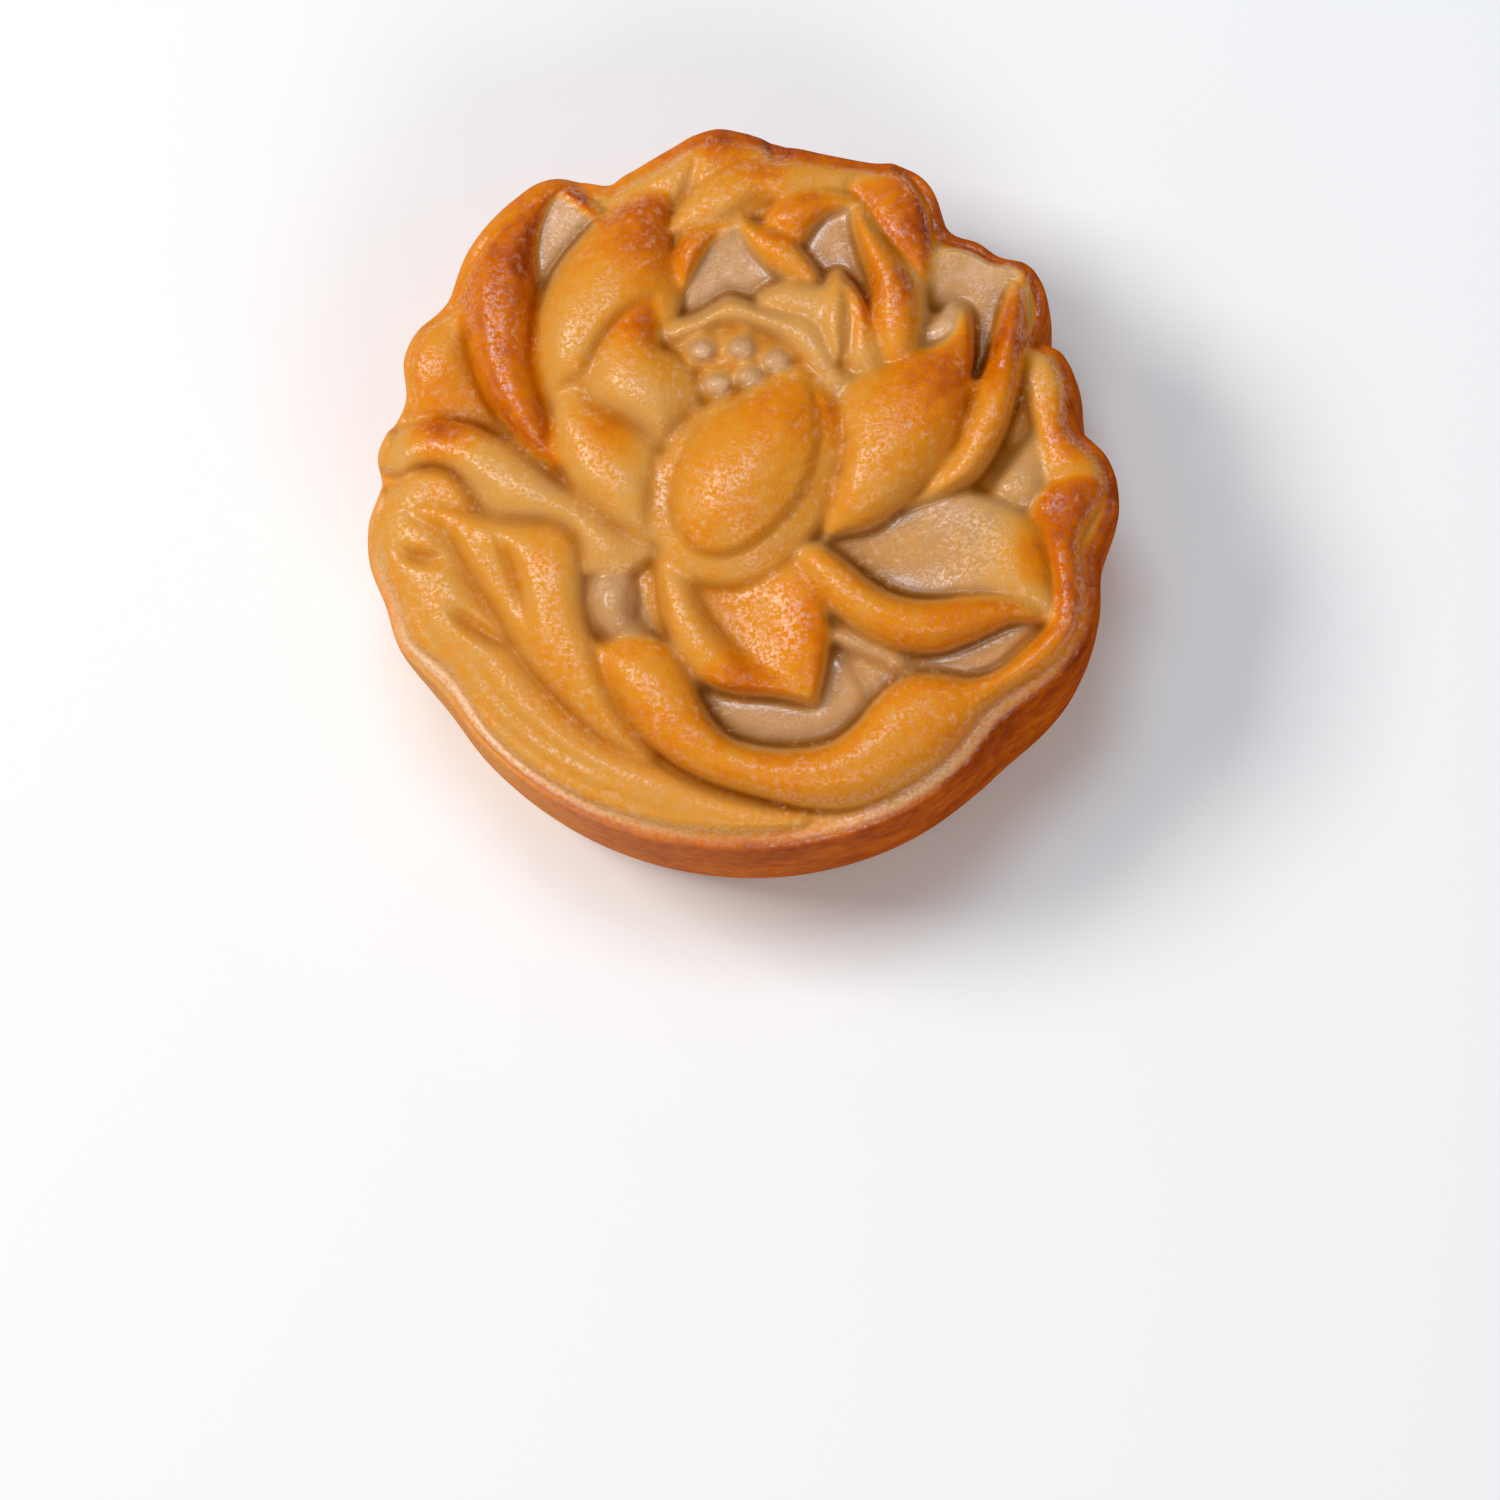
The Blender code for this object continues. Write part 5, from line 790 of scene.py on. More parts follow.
        # left side, a roll that narrows to the tip
        relief.petal(
            [(-8.2, -5.8, 2.2), (-8.4, -9.6, 2.4), (-7.6, -13.4, 2.4), (-6.0, -16.6, 2.4),
             (-3.7, -18.9, 2.4), (-0.6, -19.8, 2.4), (3.2, -20.1, 2.4), (7.1, -21.0, 2.8),
             (5.2, -18.6, 3.0), (2.8, -17.8, 2.0), (0.4, -16.6, 1.4), (-1.8, -14.6, 1.2),
             (-3.8, -12.0, 1.2), (-5.2, -9.0, 1.4), (-5.6, -5.8, 1.8)],
            [[(-6.8, -8.0, 3.7), (-6.0, -12.0, 4.2), (-4.0, -15.4, 4.6), (-1.4, -17.8, 4.6),
              (2.6, -19.1, 4.2), (5.6, -19.9, 3.9)]],
            Bake(0.42, 0.74, 0.4, -18.2, 4.0), tips=(7,), wall=0.9, crease=0.1)

    def front_petals(self, relief: Relief) -> None:
        """Lay the right centre petal and the centre petal.

        Args:
            relief: what lies below, which the forms are laid on.
        """
        # right centre petal
        relief.petal(
            [(22.0, 19.4, 2.8), (22.7, 17.4, 2.6), (22.9, 14.4, 2.6), (22.7, 11.6, 2.6), (22.3, 9.2, 2.6),
             (21.7, 6.8, 2.6), (20.7, 4.4, 2.6), (19.2, 2.2, 2.6), (17.2, 0.0, 2.4), (15.0, -1.9, 2.4),
             (12.6, -3.4, 2.2), (10.2, -4.0, 2.0), (8.0, -4.0, 2.0), (8.6, 0.2, 2.4), (9.2, 3.7, 2.4),
             (9.2, 8.4, 2.4), (10.2, 10.8, 2.6), (12.4, 12.2, 2.8), (15.0, 13.0, 2.8), (17.2, 14.0, 2.8),
             (19.0, 14.7, 2.8), (20.6, 15.7, 2.8), (21.4, 17.0, 2.8)],
            [[(21.9, 17.2, 3.4), (20.8, 12.8, 4.8), (17.6, 8.8, 5.8), (14.4, 4.8, 6.0), (12.0, 1.2, 5.6),
              (10.6, -1.6, 4.2)]], Bake(0.46, 0.78, 19.6, 12.0, 6.0), tips=(0,), fullness=4.2, wall=0.8)
        # centre petal: a broad skirt, then the raised middle
        relief.petal(
            [(5.7, 12.9, 3.2), (3.8, 12.3, 3.2), (1.6, 11.3, 3.2), (-0.8, 10.1, 3.2), (-3.2, 9.2, 3.2),
             (-5.4, 7.8, 3.0), (-7.4, 5.6, 2.8), (-8.7, 3.2, 2.8), (-9.4, 0.4, 2.6), (-9.4, -2.6, 2.6),
             (-8.6, -5.4, 2.4), (-7.0, -7.4, 2.4), (-4.6, -8.7, 2.2), (-1.8, -9.2, 2.2), (0.8, -8.8, 2.2),
             (3.2, -7.5, 2.4), (5.4, -5.6, 2.4), (7.2, -3.6, 2.6), (8.5, -1.0, 2.6), (9.4, 2.0, 2.8),
             (9.8, 5.2, 2.8), (9.2, 8.2, 3.0), (8.0, 10.6, 3.2)],
            [[(4.6, 10.2, 4.6), (1.6, 5.6, 5.4), (-0.6, 0.6, 5.4), (-1.4, -3.4, 4.8)]],
            Bake(0.44, 0.7, 8.6, 8.6, 3.0), tips=(0,), fullness=4.2, wall=0.8)
        relief.petal(
            [(5.3, 11.6, 4.0), (2.8, 10.6, 4.4), (0.0, 9.2, 4.4), (-2.6, 8.0, 4.2), (-4.6, 6.2, 4.2),
             (-6.0, 3.8, 4.4), (-6.9, 1.0, 4.6), (-7.0, -1.6, 4.6), (-6.3, -3.8, 4.6), (-4.8, -5.4, 4.6),
             (-2.8, -6.0, 4.6), (-0.8, -5.6, 4.8), (1.2, -4.5, 5.0), (3.4, -2.6, 5.0), (5.2, -0.4, 5.0),
             (6.5, 2.4, 5.0), (7.1, 5.2, 4.8), (7.1, 8.2, 4.4), (6.5, 10.4, 4.2)],
            [[(4.0, 8.6, 5.7), (1.4, 4.6, 6.8), (-1.4, 0.6, 7.1), (-2.6, -2.4, 6.7)]],
            Bake(0.5, 0.64, 4.0, 9.0, 5.0), tips=(0,), wall=0.7, crease=0.3)


@dataclass(frozen=True)
class CakeSizes:
    """Sizes of the cake in millimetres, and how finely its surface is divided.

    What is given by angle has its degrees first in each pair. The edge's knots are its crests and notches.
    """

    # radius of the top's edge by angle
    edge: Points = (
        (-2.0, 36.9), (5.0, 36.0), (11.0, 33.4), (19.5, 34.4), (23.5, 34.1), (26.8, 32.6), (31.3, 35.0),
        (35.5, 36.0), (39.4, 35.7), (43.0, 34.3), (47.0, 33.8), (51.2, 32.8), (54.0, 33.1), (57.4, 35.0),
        (61.0, 35.9), (65.0, 35.8), (69.5, 34.9), (80.0, 34.3), (85.8, 34.9), (90.0, 35.6), (93.4, 36.0),
        (96.6, 35.9), (100.0, 35.4), (109.5, 33.9), (114.2, 33.6), (117.2, 34.8), (120.4, 36.0),
        (124.0, 36.7), (128.0, 36.7), (139.0, 36.2), (147.5, 35.2), (153.0, 36.2), (158.0, 36.3),
        (164.5, 34.8), (170.5, 35.8), (174.0, 36.4), (178.6, 35.9), (185.0, 37.3), (190.0, 37.7),
        (197.0, 37.1), (204.0, 37.2), (209.0, 36.2), (212.5, 35.6), (223.0, 35.6), (237.0, 35.4),
        (261.0, 35.0), (280.0, 35.1), (303.0, 35.1), (311.0, 34.7), (317.5, 34.2), (322.5, 34.7),
        (327.5, 35.7), (332.0, 36.5), (337.0, 36.9), (342.0, 36.6), (350.0, 35.4))
    # the border's bead: width by angle, height, where it starts and ends, and how softly
    bead: Points = (
        (190.0, 0.7), (202.0, 0.85), (209.0, 1.5), (215.0, 1.2), (250.0, 1.2), (280.0, 1.55), (306.0, 2.1),
        (324.0, 2.1), (334.0, 1.3), (345.0, 1.2))
    bead_rise: float = 0.5
    bead_from: float = 183.0
    bead_to: float = 346.0
    bead_fade: float = 9.0
    bead_edge: float = 0.3
    # heights, the plan's stretch and draft, and how edges and creases are rounded
    rim_height: float = 28.0
    ground: float = 0.3
    dome_rise: float = 3.4
    dome_power: float = 0.75
    plan_stretch: float = 1.015
    draft_point: Span = (28.3, -133.2)
    draft_height: float = 790.3
    rounding: float = 0.7
    crease_radius: float = 0.9
    crease_depth: float = 0.8
    # the side: its corner, how far down it follows the edge's height, its belly, bulge, taper and foot, and
    # how its scallops fade
    corner_radius: float = 0.5
    lift_depth: float = 5.0
    belly_out: float = 0.5
    belly_power: float = 0.8
    bulge_out: float = 1.1
    bulge_angle: float = 325.0
    bulge_spread: float = 11.0
    taper: float = 0.7
    foot_radius: float = 2.0
    scallop_fade: float = 0.55
    scallop_rate: float = 1.6
    # browning by angle of the edge, the ledge inside it and the wall, darker on the right away from the
    # light partly as painted shade, and how pale the bead and wall are, paler on the lit lower left partly
    # as painted highlight
    edge_bake_and_shade: Points = (
        (0.0, 0.9), (30.0, 0.86), (60.0, 0.84), (95.0, 0.86), (108.0, 0.62), (125.0, 0.68), (150.0, 0.56),
        (200.0, 0.5), (225.0, 0.6), (245.0, 0.78), (270.0, 0.86), (300.0, 0.88), (330.0, 0.9))
    ledge_bake_and_shade: Points = (
        (0.0, 0.93), (30.0, 0.86), (60.0, 0.84), (90.0, 0.82), (104.0, 0.68), (125.0, 0.6), (150.0, 0.5),
        (180.0, 0.42), (245.0, 0.44), (262.0, 0.54), (278.0, 0.62), (290.0, 0.46), (310.0, 0.46),
        (330.0, 0.6), (345.0, 0.82))
    wall_bake_and_shade: Points = (
        (0.0, 0.86), (60.0, 0.82), (100.0, 0.84), (150.0, 0.62), (215.0, 0.56), (245.0, 0.76),
        (290.0, 0.86))
    bead_pale_and_sheen: Points = (
        (175.0, 0.0), (190.0, 0.6), (205.0, 0.9), (235.0, 0.85), (255.0, 0.5), (275.0, 0.2), (290.0, 0.5),
        (312.0, 0.5), (330.0, 0.2), (342.0, 0.0))
    wall_pale_and_lit: Points = (
        (0.0, 0.0), (100.0, 0.05), (175.0, 0.15), (200.0, 0.24), (235.0, 0.24), (262.0, 0.1), (290.0, 0.03),
        (330.0, 0.0))
    bottom_bake: float = 0.7
    # the ledge's width, how many widths in it ends, the height that ends it and how sharply it sets in
    ledge_width: float = 1.2
    ledge_reach: float = 1.5
    ledge_top: float = 1.6
    ledge_power: float = 3.0
    # how far in the edge's browning reaches, how far down, and where sunk places start to count for the
    # painted hollow shade and the pools
    corner_width: float = 0.8
    corner_fade: float = 3.0
    sunk_inward: Span = (1.0, 4.0)
    # how finely the surface is divided, and how often it is smoothed for itself, its crests and its folds
    top_cells: int = 280
    corner_rows: int = 4
    body_rows: int = 9
    foot_rows: int = 4
    soft_passes: int = 3
    lie_passes: int = 63
    fold_passes: int = 8


class Trait(Enum):
    """What each point of the cake's surface carries for its crust.

    Bake is how brown it is, crest how far it stands above what lies round it, fold how deep it is in a
    fold, wall whether it is below the top, and pale how pale it is, which on the bead is partly painted
    highlight and on the wall partly painted light on its lit lower left.
    """

    BAKE = "bake"
    CREST = "crest"
    FOLD = "fold"
    WALL = "wall"
    PALE = "pale"


class Grid:
    """Square grid bent into a round: u root(1 - v^2 / 2) across and v root(1 - u^2 / 2) upwards."""

    def __init__(self, cells: int) -> None:
        """Lay the grid out.

        Args:
            cells: cells along a side.
        """
        line = np.linspace(-1.0, 1.0, cells + 1)
        u, v = np.meshgrid(line, line)
        across, upward = u * np.sqrt(1.0 - v**2 / 2.0), v * np.sqrt(1.0 - u**2 / 2.0)
        self.share = np.hypot(across, upward)
        self.angle = np.arctan2(upward, across)
        self.index = np.arange((cells + 1)**2).reshape(cells + 1, cells + 1)

    def faces(self) -> Array:
        """Corners of the grid's four-sided faces, counter-clockwise from above."""
        i = self.index
        return np.stack([i[:-1, :-1], i[:-1, 1:], i[1:, 1:], i[1:, :-1]], axis=-1).reshape(-1, 4)

    def border(self) -> Array:
        """Indices round the grid's border, counter-clockwise."""
        i = self.index
        return np.concatenate([i[0, :-1], i[:-1, -1], i[-1, :0:-1], i[:0:-1, 0]])

    @staticmethod
    def rounded(values: Array, radius: float, cell: float) -> Array:
        """Round the raised edges as if a ball had been rolled round beneath the surface.

        Each height first falls to the lowest of those near it plus the ball's drop there, which is radius
        minus root(radius squared - distance squared), and then rises to the highest of those near it minus
        that drop. Creases stay sharp. Of the heights turned upside down it rounds the creases.

        Args:
            values: a height for each grid point.
            radius: the ball's radius.
            cell: width of a grid cell.

        Returns:
            The rounded heights.
        """
        reach = int(radius / cell)
        rows, columns = values.shape
        steps = [(i, j, radius - np.sqrt(radius**2 - (i * i + j * j) * cell**2))
                 for i in range(-reach, reach + 1) for j in range(-reach, reach + 1)
                 if (i * i + j * j) * cell**2 <= radius**2]
        for sign in (1.0, -1.0):
            padded = np.pad(values * sign, reach, mode="edge")
            near = [padded[reach + i:reach + i + rows, reach + j:reach + j + columns] + drop
                    for i, j, drop in steps]
            values = sign * np.minimum.reduce(near)
        return values

    @staticmethod
    def soften(values: Array, passes: int) -> Array:
        """Smooth values over the grid, by a quarter, a half and a quarter along both directions.

        Args:
            values: one value for each grid point.
            passes: how often it is done.

        Returns:
            The smoothed values.
        """
        for _ in range(passes):
            for axis in (0, 1):
                padded = np.pad(values, [(1, 1) if k == axis else (0, 0) for k in (0, 1)], mode="edge")
                a, b, c = (np.take(padded, range(k, k + values.shape[axis]), axis=axis) for k in (0, 1, 2))
                values = a / 4.0 + b / 2.0 + c / 4.0
        return values


class Cake:
    """The whole cake as one closed surface with its traits."""

    def __init__(self, sizes: CakeSizes) -> None:
        """Take the sizes.

        Args:
            sizes: sizes of the cake.
        """
        self.sizes = sizes

    def border_bead(self, angle: Array, inward: Array) -> tuple[Array, Array]:
        """Raise the bead that runs round the lower border.

        Its height is bead_rise times a half sine wave over its width, and it fades out at both its ends.

        Args:
            angle: angles of the points in radians.
            inward: distances of the points in from the edge.

        Returns:
            The bead's height, and how much of the relief it takes away, from 0 to 1.
        """
        s = self.sizes
        degrees = np.degrees(angle) % 360.0
        ends = ease((degrees - s.bead_from) / s.bead_fade) * ease((s.bead_to - degrees) / s.bead_fade)
        width = around(s.bead, angle)
        bead = s.bead_rise * np.sin(np.pi * np.clip(inward / width, 0.0, 1.0))
        return bead, ends * ease((width + s.bead_edge - inward) / (2.0 * s.bead_edge))

    def top(self, grid: Grid) -> tuple[Array, dict[Trait, Array]]:
        """Work out the top: the lotus on a dome of dome_rise (1 - share squared) to the dome_power.

        A crease that a ball of crease_radius can't reach into is held to about crease_depth. The forms'
        plan, stretched along Y, holds at the rim's height. Each place stands on the straight line
        from there to the draft point above the cake, so it moves towards it by its height / draft_height.
        The ledge is the bead and the low strip inside the edge. It takes ledge_bake_and_shade, by its share
        to the ledge_power, and the outermost corner_width takes edge_bake_and_shade: browning by angle,
        darker on the right partly as painted shade.

        Args:
            grid: the grid that it is laid on.

        Returns:
            The top's points, and its traits. The crest trait is the height above the height around, where
            sunk places count from the first of sunk_inward in from the edge and fully from the second. The
            fold trait is how far a place lies below what is close by, and not on the ledge. The pale trait
            is bead_pale_and_sheen times the bead's half sine: a pale bead, partly painted highlight on its
            lit lower left.
        """
        s = self.sizes
        edge = around(s.edge, grid.angle)
        radius = grid.share * edge
        x, y = radius * np.cos(grid.angle), radius * np.sin(grid.angle)
        relief = Relief(x.ravel(), y.ravel(), s.ground, Lotus.GROUND_BAKE)
        Lotus().lay(relief)
        height, bake = relief.height.reshape(x.shape), relief.bake.reshape(x.shape)
        bead, outside = self.border_bead(grid.angle, edge - radius)
        dome = s.dome_rise * (1.0 - np.clip(grid.share, 0.0, 1.0)**2)**s.dome_power
        ledge = ease(s.ledge_reach - (edge - radius) / s.ledge_width) * ease(s.ledge_top - height)
        ledge = np.maximum(outside, ledge)
        # ledge browning by angle, darker on the right partly as painted shade
        bake = bake + (around(s.ledge_bake_and_shade, grid.angle) - bake) * ledge**s.ledge_power
        corner = ease(1.0 - (edge - radius) / s.corner_width)
        # edge browning by angle, darker on the right partly as painted shade
        bake = grid.soften(bake + (around(s.edge_bake_and_shade, grid.angle) - bake) * corner, s.soft_passes)
        # bead paleness by angle, partly painted highlight where light falls on the lower left
        pale = grid.soften(around(s.bead_pale_and_sheen, grid.angle) * bead / s.bead_rise * outside, s.soft_passes)
        height = dome + height * (1.0 - outside) + bead * outside
        cell = 2.0 * edge.mean() / s.top_cells
        height = grid.rounded(height, s.rounding, cell)
        filled = -grid.rounded(-height, s.crease_radius, cell)
        height = filled - s.crease_depth * (1.0 - np.exp((height - filled) / s.crease_depth))
        height = grid.soften(height, s.soft_passes)
        crest = height - grid.soften(height, s.lie_passes)
        near, far = s.sunk_inward
        crest = np.where(crest < 0.0, crest * ease((edge - radius - near) / (far - near)), crest)
        fold = np.maximum(grid.soften(height, s.fold_passes) - height, 0.0) * (1.0 - ledge)
        y = y * s.plan_stretch
        x = x + (s.draft_point[0] - x) * height / s.draft_height
        y = y + (s.draft_point[1] - y) * height / s.draft_height
        points = np.stack([x, y, s.rim_height + height], axis=-1).reshape(-1, 3)
        traits = {Trait.BAKE: bake.ravel(), Trait.CREST: crest.ravel(), Trait.FOLD: fold.ravel(),
                  Trait.WALL: np.zeros(x.size), Trait.PALE: pale.ravel()}
        return points, traits

    def side_rows(self) -> list[tuple[float, float, float]]:
        """Rows of the side from the top edge down.

        A quarter circle makes the corner. The wall below it has a half sine wave to belly_power for its
        belly, tapers by taper times its share of the way down squared, and ends in a quarter circle.

        Returns:
            How far out each row is, how much of the bulge it has, and its height.
        """
        s = self.sizes
        rows = []
        for k in range(1, s.corner_rows + 1):
            a = np.pi / 2.0 * k / s.corner_rows
            z = s.rim_height - s.corner_radius * (1.0 - np.cos(a))
            rows.append((s.corner_radius * np.sin(a), 0.0, z))
        high, low = s.rim_height - s.corner_radius, s.foot_radius
        for k in range(1, s.body_rows):
            share = k / s.body_rows
            swell = np.sin(np.pi * share)**s.belly_power
            out = s.corner_radius + s.belly_out * swell - s.taper * share**2
            rows.append((out, swell, high + (low - high) * share))
        for k in range(s.foot_rows + 1):
            a = np.pi / 2.0 * k / s.foot_rows
            out = s.corner_radius - s.taper - low * (1.0 - np.cos(a))
            rows.append((out, 0.0, low * (1.0 - np.sin(a))))
        return rows

    def surface(self) -> tuple[Array, Array, dict[Trait, Array]]:
        """Close the surface: the top, the side's rows below its border, and a flat bottom.

        A row's radius is the edge's, which evens out by up to scallop_fade on the way down, plus the row's
        distance out, plus bulge_out times e to the minus ((angle - bulge_angle) / bulge_spread) squared for
        its share of the bulge. It follows the border's height, less and less down to lift_depth. Its
        browning goes from edge_bake_and_shade to wall_bake_and_shade by e to the minus (depth /
        corner_fade) squared, darker on the right partly as painted shade.

        Returns:
            Points in metres about the cake's own middle, faces as quads and triangles (whose last corner
            is -1), and the traits. The wall trait is 1 below the top, where the pale trait is
            wall_pale_and_lit, paler on the lower left partly as painted light.
        """
        s = self.sizes
        grid = Grid(s.top_cells)
        top, traits = self.top(grid)
        border = grid.border()
        angle = grid.angle.ravel()[border]
        scallops, edge_height = around(s.edge, angle), top[border, 2] - s.rim_height
        bulge = s.bulge_out * np.exp(-((np.degrees(angle) % 360.0 - s.bulge_angle) / s.bulge_spread)**2)
        even = scallops.mean()
        points, faces, ring, wall_bake_and_shade = [top], [grid.faces()], border, []
        for out, swell, z in self.side_rows():
            fade = s.scallop_fade * min(1.0, s.scallop_rate * (1.0 - z / s.rim_height))
            r = scallops + (even - scallops) * fade + out + bulge * swell
            lift = edge_height * (1.0 - ease((s.rim_height - z) / s.lift_depth))
            across, upward = r * np.cos(angle), r * np.sin(angle) * s.plan_stretch
            points.append(np.stack([across, upward, z + lift], axis=-1))
            first = len(top) + len(border) * len(wall_bake_and_shade)
            lower = np.arange(first, first + len(border))
            faces.append(np.stack([ring, lower, np.roll(lower, -1), np.roll(ring, -1)], axis=-1))
            ring = lower
            corner = np.exp(-((s.rim_height - z) / s.corner_fade)**2)
            # side's browning by angle, darker on the right partly as painted shade
            low = around(s.wall_bake_and_shade, angle)
            wall_bake_and_shade.append(low + (around(s.edge_bake_and_shade, angle) - low) * corner)
        points = np.vstack(points + [np.zeros((1, 3))])
        middle, unused = np.full(len(ring), len(points) - 1), np.full(len(ring), -1)
        faces.append(np.stack([np.roll(ring, -1), ring, middle, unused], axis=-1))
        none = np.zeros(len(points) - len(top))
        # wall paleness by angle, paler on the lit lower left partly as painted light
        wall_pale_and_lit = np.tile(around(s.wall_pale_and_lit, angle), len(wall_bake_and_shade))
        below = {Trait.BAKE: [*wall_bake_and_shade, [s.bottom_bake]], Trait.CREST: [none], Trait.FOLD: [none],
                 Trait.WALL: [none + 1.0], Trait.PALE: [wall_pale_and_lit, [0.0]]}
        traits = {trait: np.concatenate([traits[trait], *below[trait]]) for trait in Trait}
        plan = points[:, :2]
        points[:, :2] -= (plan.min(axis=0) + plan.max(axis=0)) / 2.0
        return points * MM, np.vstack(faces), traits

    def build(self) -> bpy.types.Object:
        """Make the cake's object, smooth shaded, with its traits as attributes.

        Returns:
            The object, at the origin.
        """
        points, faces, traits = self.surface()
        mesh = bpy.data.meshes.new(NODE)
        used = faces >= 0
        counts = used.sum(axis=1)
        corners = faces[used]
        mesh.vertices.add(len(points))
        mesh.vertices.foreach_set("co", points.ravel())
        mesh.loops.add(len(corners))
        mesh.loops.foreach_set("vertex_index", corners)
        mesh.polygons.add(len(faces))
        mesh.polygons.foreach_set("loop_start", np.cumsum(counts) - counts)
        mesh.update(calc_edges=True)
        for trait, values in traits.items():
            mesh.attributes.new(trait.value, "FLOAT", "POINT").data.foreach_set("value", values)
        mesh.shade_smooth()
        cake = bpy.data.objects.new(NODE, mesh)
        bpy.context.scene.collection.objects.link(cake)
        LOG.info("cake: %d points, %d faces", len(points), len(faces))
        return cake


Term = "Value | float"


class Value:
    """A number in a shader, on which ordinary arithmetic works."""

    def __init__(self, shader: "ShaderTree", socket: bpy.types.NodeSocket) -> None:
        """Wrap a socket.

        Args:
            shader: the tree that the socket is in.
            socket: the output socket that carries the number.
        """
        self.shader, self.socket = shader, socket

    def math(self, operation: str, first: Term, second: Term) -> "Value":
        """Combine two terms by a Math node's operation."""
        return self.shader.node("ShaderNodeMath", {"operation": operation}, {0: first, 1: second})

    def __add__(self, other: Term) -> "Value":
        """Sum."""
        return self.math("ADD", self, other)

    __radd__ = __add__

    def __sub__(self, other: Term) -> "Value":
        """Difference."""
        return self.math("SUBTRACT", self, other)

    def __rsub__(self, other: Term) -> "Value":
        """Difference from another term."""
        return self.math("SUBTRACT", other, self)

    def __mul__(self, other: Term) -> "Value":
        """Product."""
        return self.math("MULTIPLY", self, other)

    __rmul__ = __mul__

    def held(self, low: float, high: float) -> "Value":
        """The number held between two bounds."""
        return self.math("MINIMUM", self.math("MAXIMUM", self, low), high)

    def rise(self, low: float, high: float) -> "Value":
        """Smooth step of the number from 0 at low to 1 at high."""
        return self.shader.node("ShaderNodeMapRange", {"interpolation_type": "SMOOTHSTEP"},
                                {"Value": self, "From Min": low, "From Max": high})


@dataclass(frozen=True)
class Noise:
    """Cloudy noise: its features' size in millimetres, detail, roughness, and how much it counts."""

    size: float
    detail: float = 2.0
    roughness: float = 0.5
    share: float = 1.0


class ShaderTree:
    """A material's nodes."""

    def __init__(self, name: str) -> None:
        """Make a material without a shader yet.

        Args:
            name: the material's name.
        """
        self.material = bpy.data.materials.new(name)
        self.material.use_nodes = True
        self.tree = self.material.node_tree
        self.tree.nodes.remove(self.tree.nodes["Principled BSDF"])

    def node(self, kind: str, settings: dict[str, object], values: dict[int | str, object],
             output: int | str = 0) -> Value:
        """Add a node.

        Args:
            kind: the node's type.
            settings: its settings, set before its sockets. A ramp's stops are given as stops.
            values: a number, colour or linked value for each input socket, by name or place.
            output: name or place of the output socket.

        Returns:
            The output, ready for arithmetic.
        """
        made = self.tree.nodes.new(kind)
        for name, setting in settings.items():
            if name == "stops":
                self.set_stops(made.color_ramp, setting)
            else:
                setattr(made, name, setting)
        for name, value in values.items():
            self.feed(made.inputs[name], value)
        return Value(self, made.outputs[output])

    def feed(self, socket: bpy.types.NodeSocket, value: object) -> None:
        """Link a value to an input socket, or set the socket to a number or colour.

        Args:
            socket: the input socket.
            value: a number, a colour or a linked value.
        """
        if isinstance(value, Value):
            self.tree.links.new(value.socket, socket)
        else:
            socket.default_value = value

    def show(self, surface: Value) -> None:
        """Show a shader on the surface."""
        self.feed(self.tree.nodes["Material Output"].inputs["Surface"], surface)

    @staticmethod
    def set_stops(ramp: bpy.types.ColorRamp, stops: Sequence[tuple[float, tuple[float, ...]]]) -> None:
        """Give a ramp its stops, with a smooth spline between them.

        Args:
            ramp: the ramp.
            stops: place and linear colour of each stop.
        """
        ramp.interpolation = "B_SPLINE"
        while len(ramp.elements) < len(stops):
            ramp.elements.new(1.0)
        for element, (place, colour) in zip(ramp.elements, stops):
            element.position, element.color = place, colour

    def mix(self, share: Term, below: object, above: object, blend: str = "MIX") -> Value:
        """Mix two colours by a share, from 0, all below, to 1, all above."""
        return self.node("ShaderNodeMix", {"data_type": "RGBA", "blend_type": blend},
                         {0: share, 6: below, 7: above}, 2)

    def trait(self, trait: Trait) -> Value:
        """One of the surface's traits."""
        return self.node("ShaderNodeAttribute", {"attribute_name": trait.value}, {}, "Fac")

    def noise(self, noise: Noise) -> Value:
        """Noise from 0 to 1, about 0.5 on average, on the object's own coordinates.

        Args:
            noise: what it is like.

        Returns:
            The noise, whatever its share.
        """
        place = self.node("ShaderNodeTexCoord", {}, {}, "Object")
        return self.node("ShaderNodeTexNoise", {}, {
            "Vector": place, "Scale": 1.0 / (noise.size * MM), "Detail": noise.detail,
            "Roughness": noise.roughness})


def linear(red: int, green: int, blue: int) -> tuple[float, float, float, float]:
    """Linear colour of a screen colour: c / 12.92 below 0.04045, else ((c + 0.055) / 1.055) to the 2.4.

    Args:
        red: red, from 0 to 255.
        green: green.
        blue: blue.

    Returns:
        The linear colour, opaque.
    """
    parts = [c / 255.0 for c in (red, green, blue)]
    parts = [c / 12.92 if c < 0.04045 else ((c + 0.055) / 1.055)**2.4 for c in parts]
    return (*parts, 1.0)


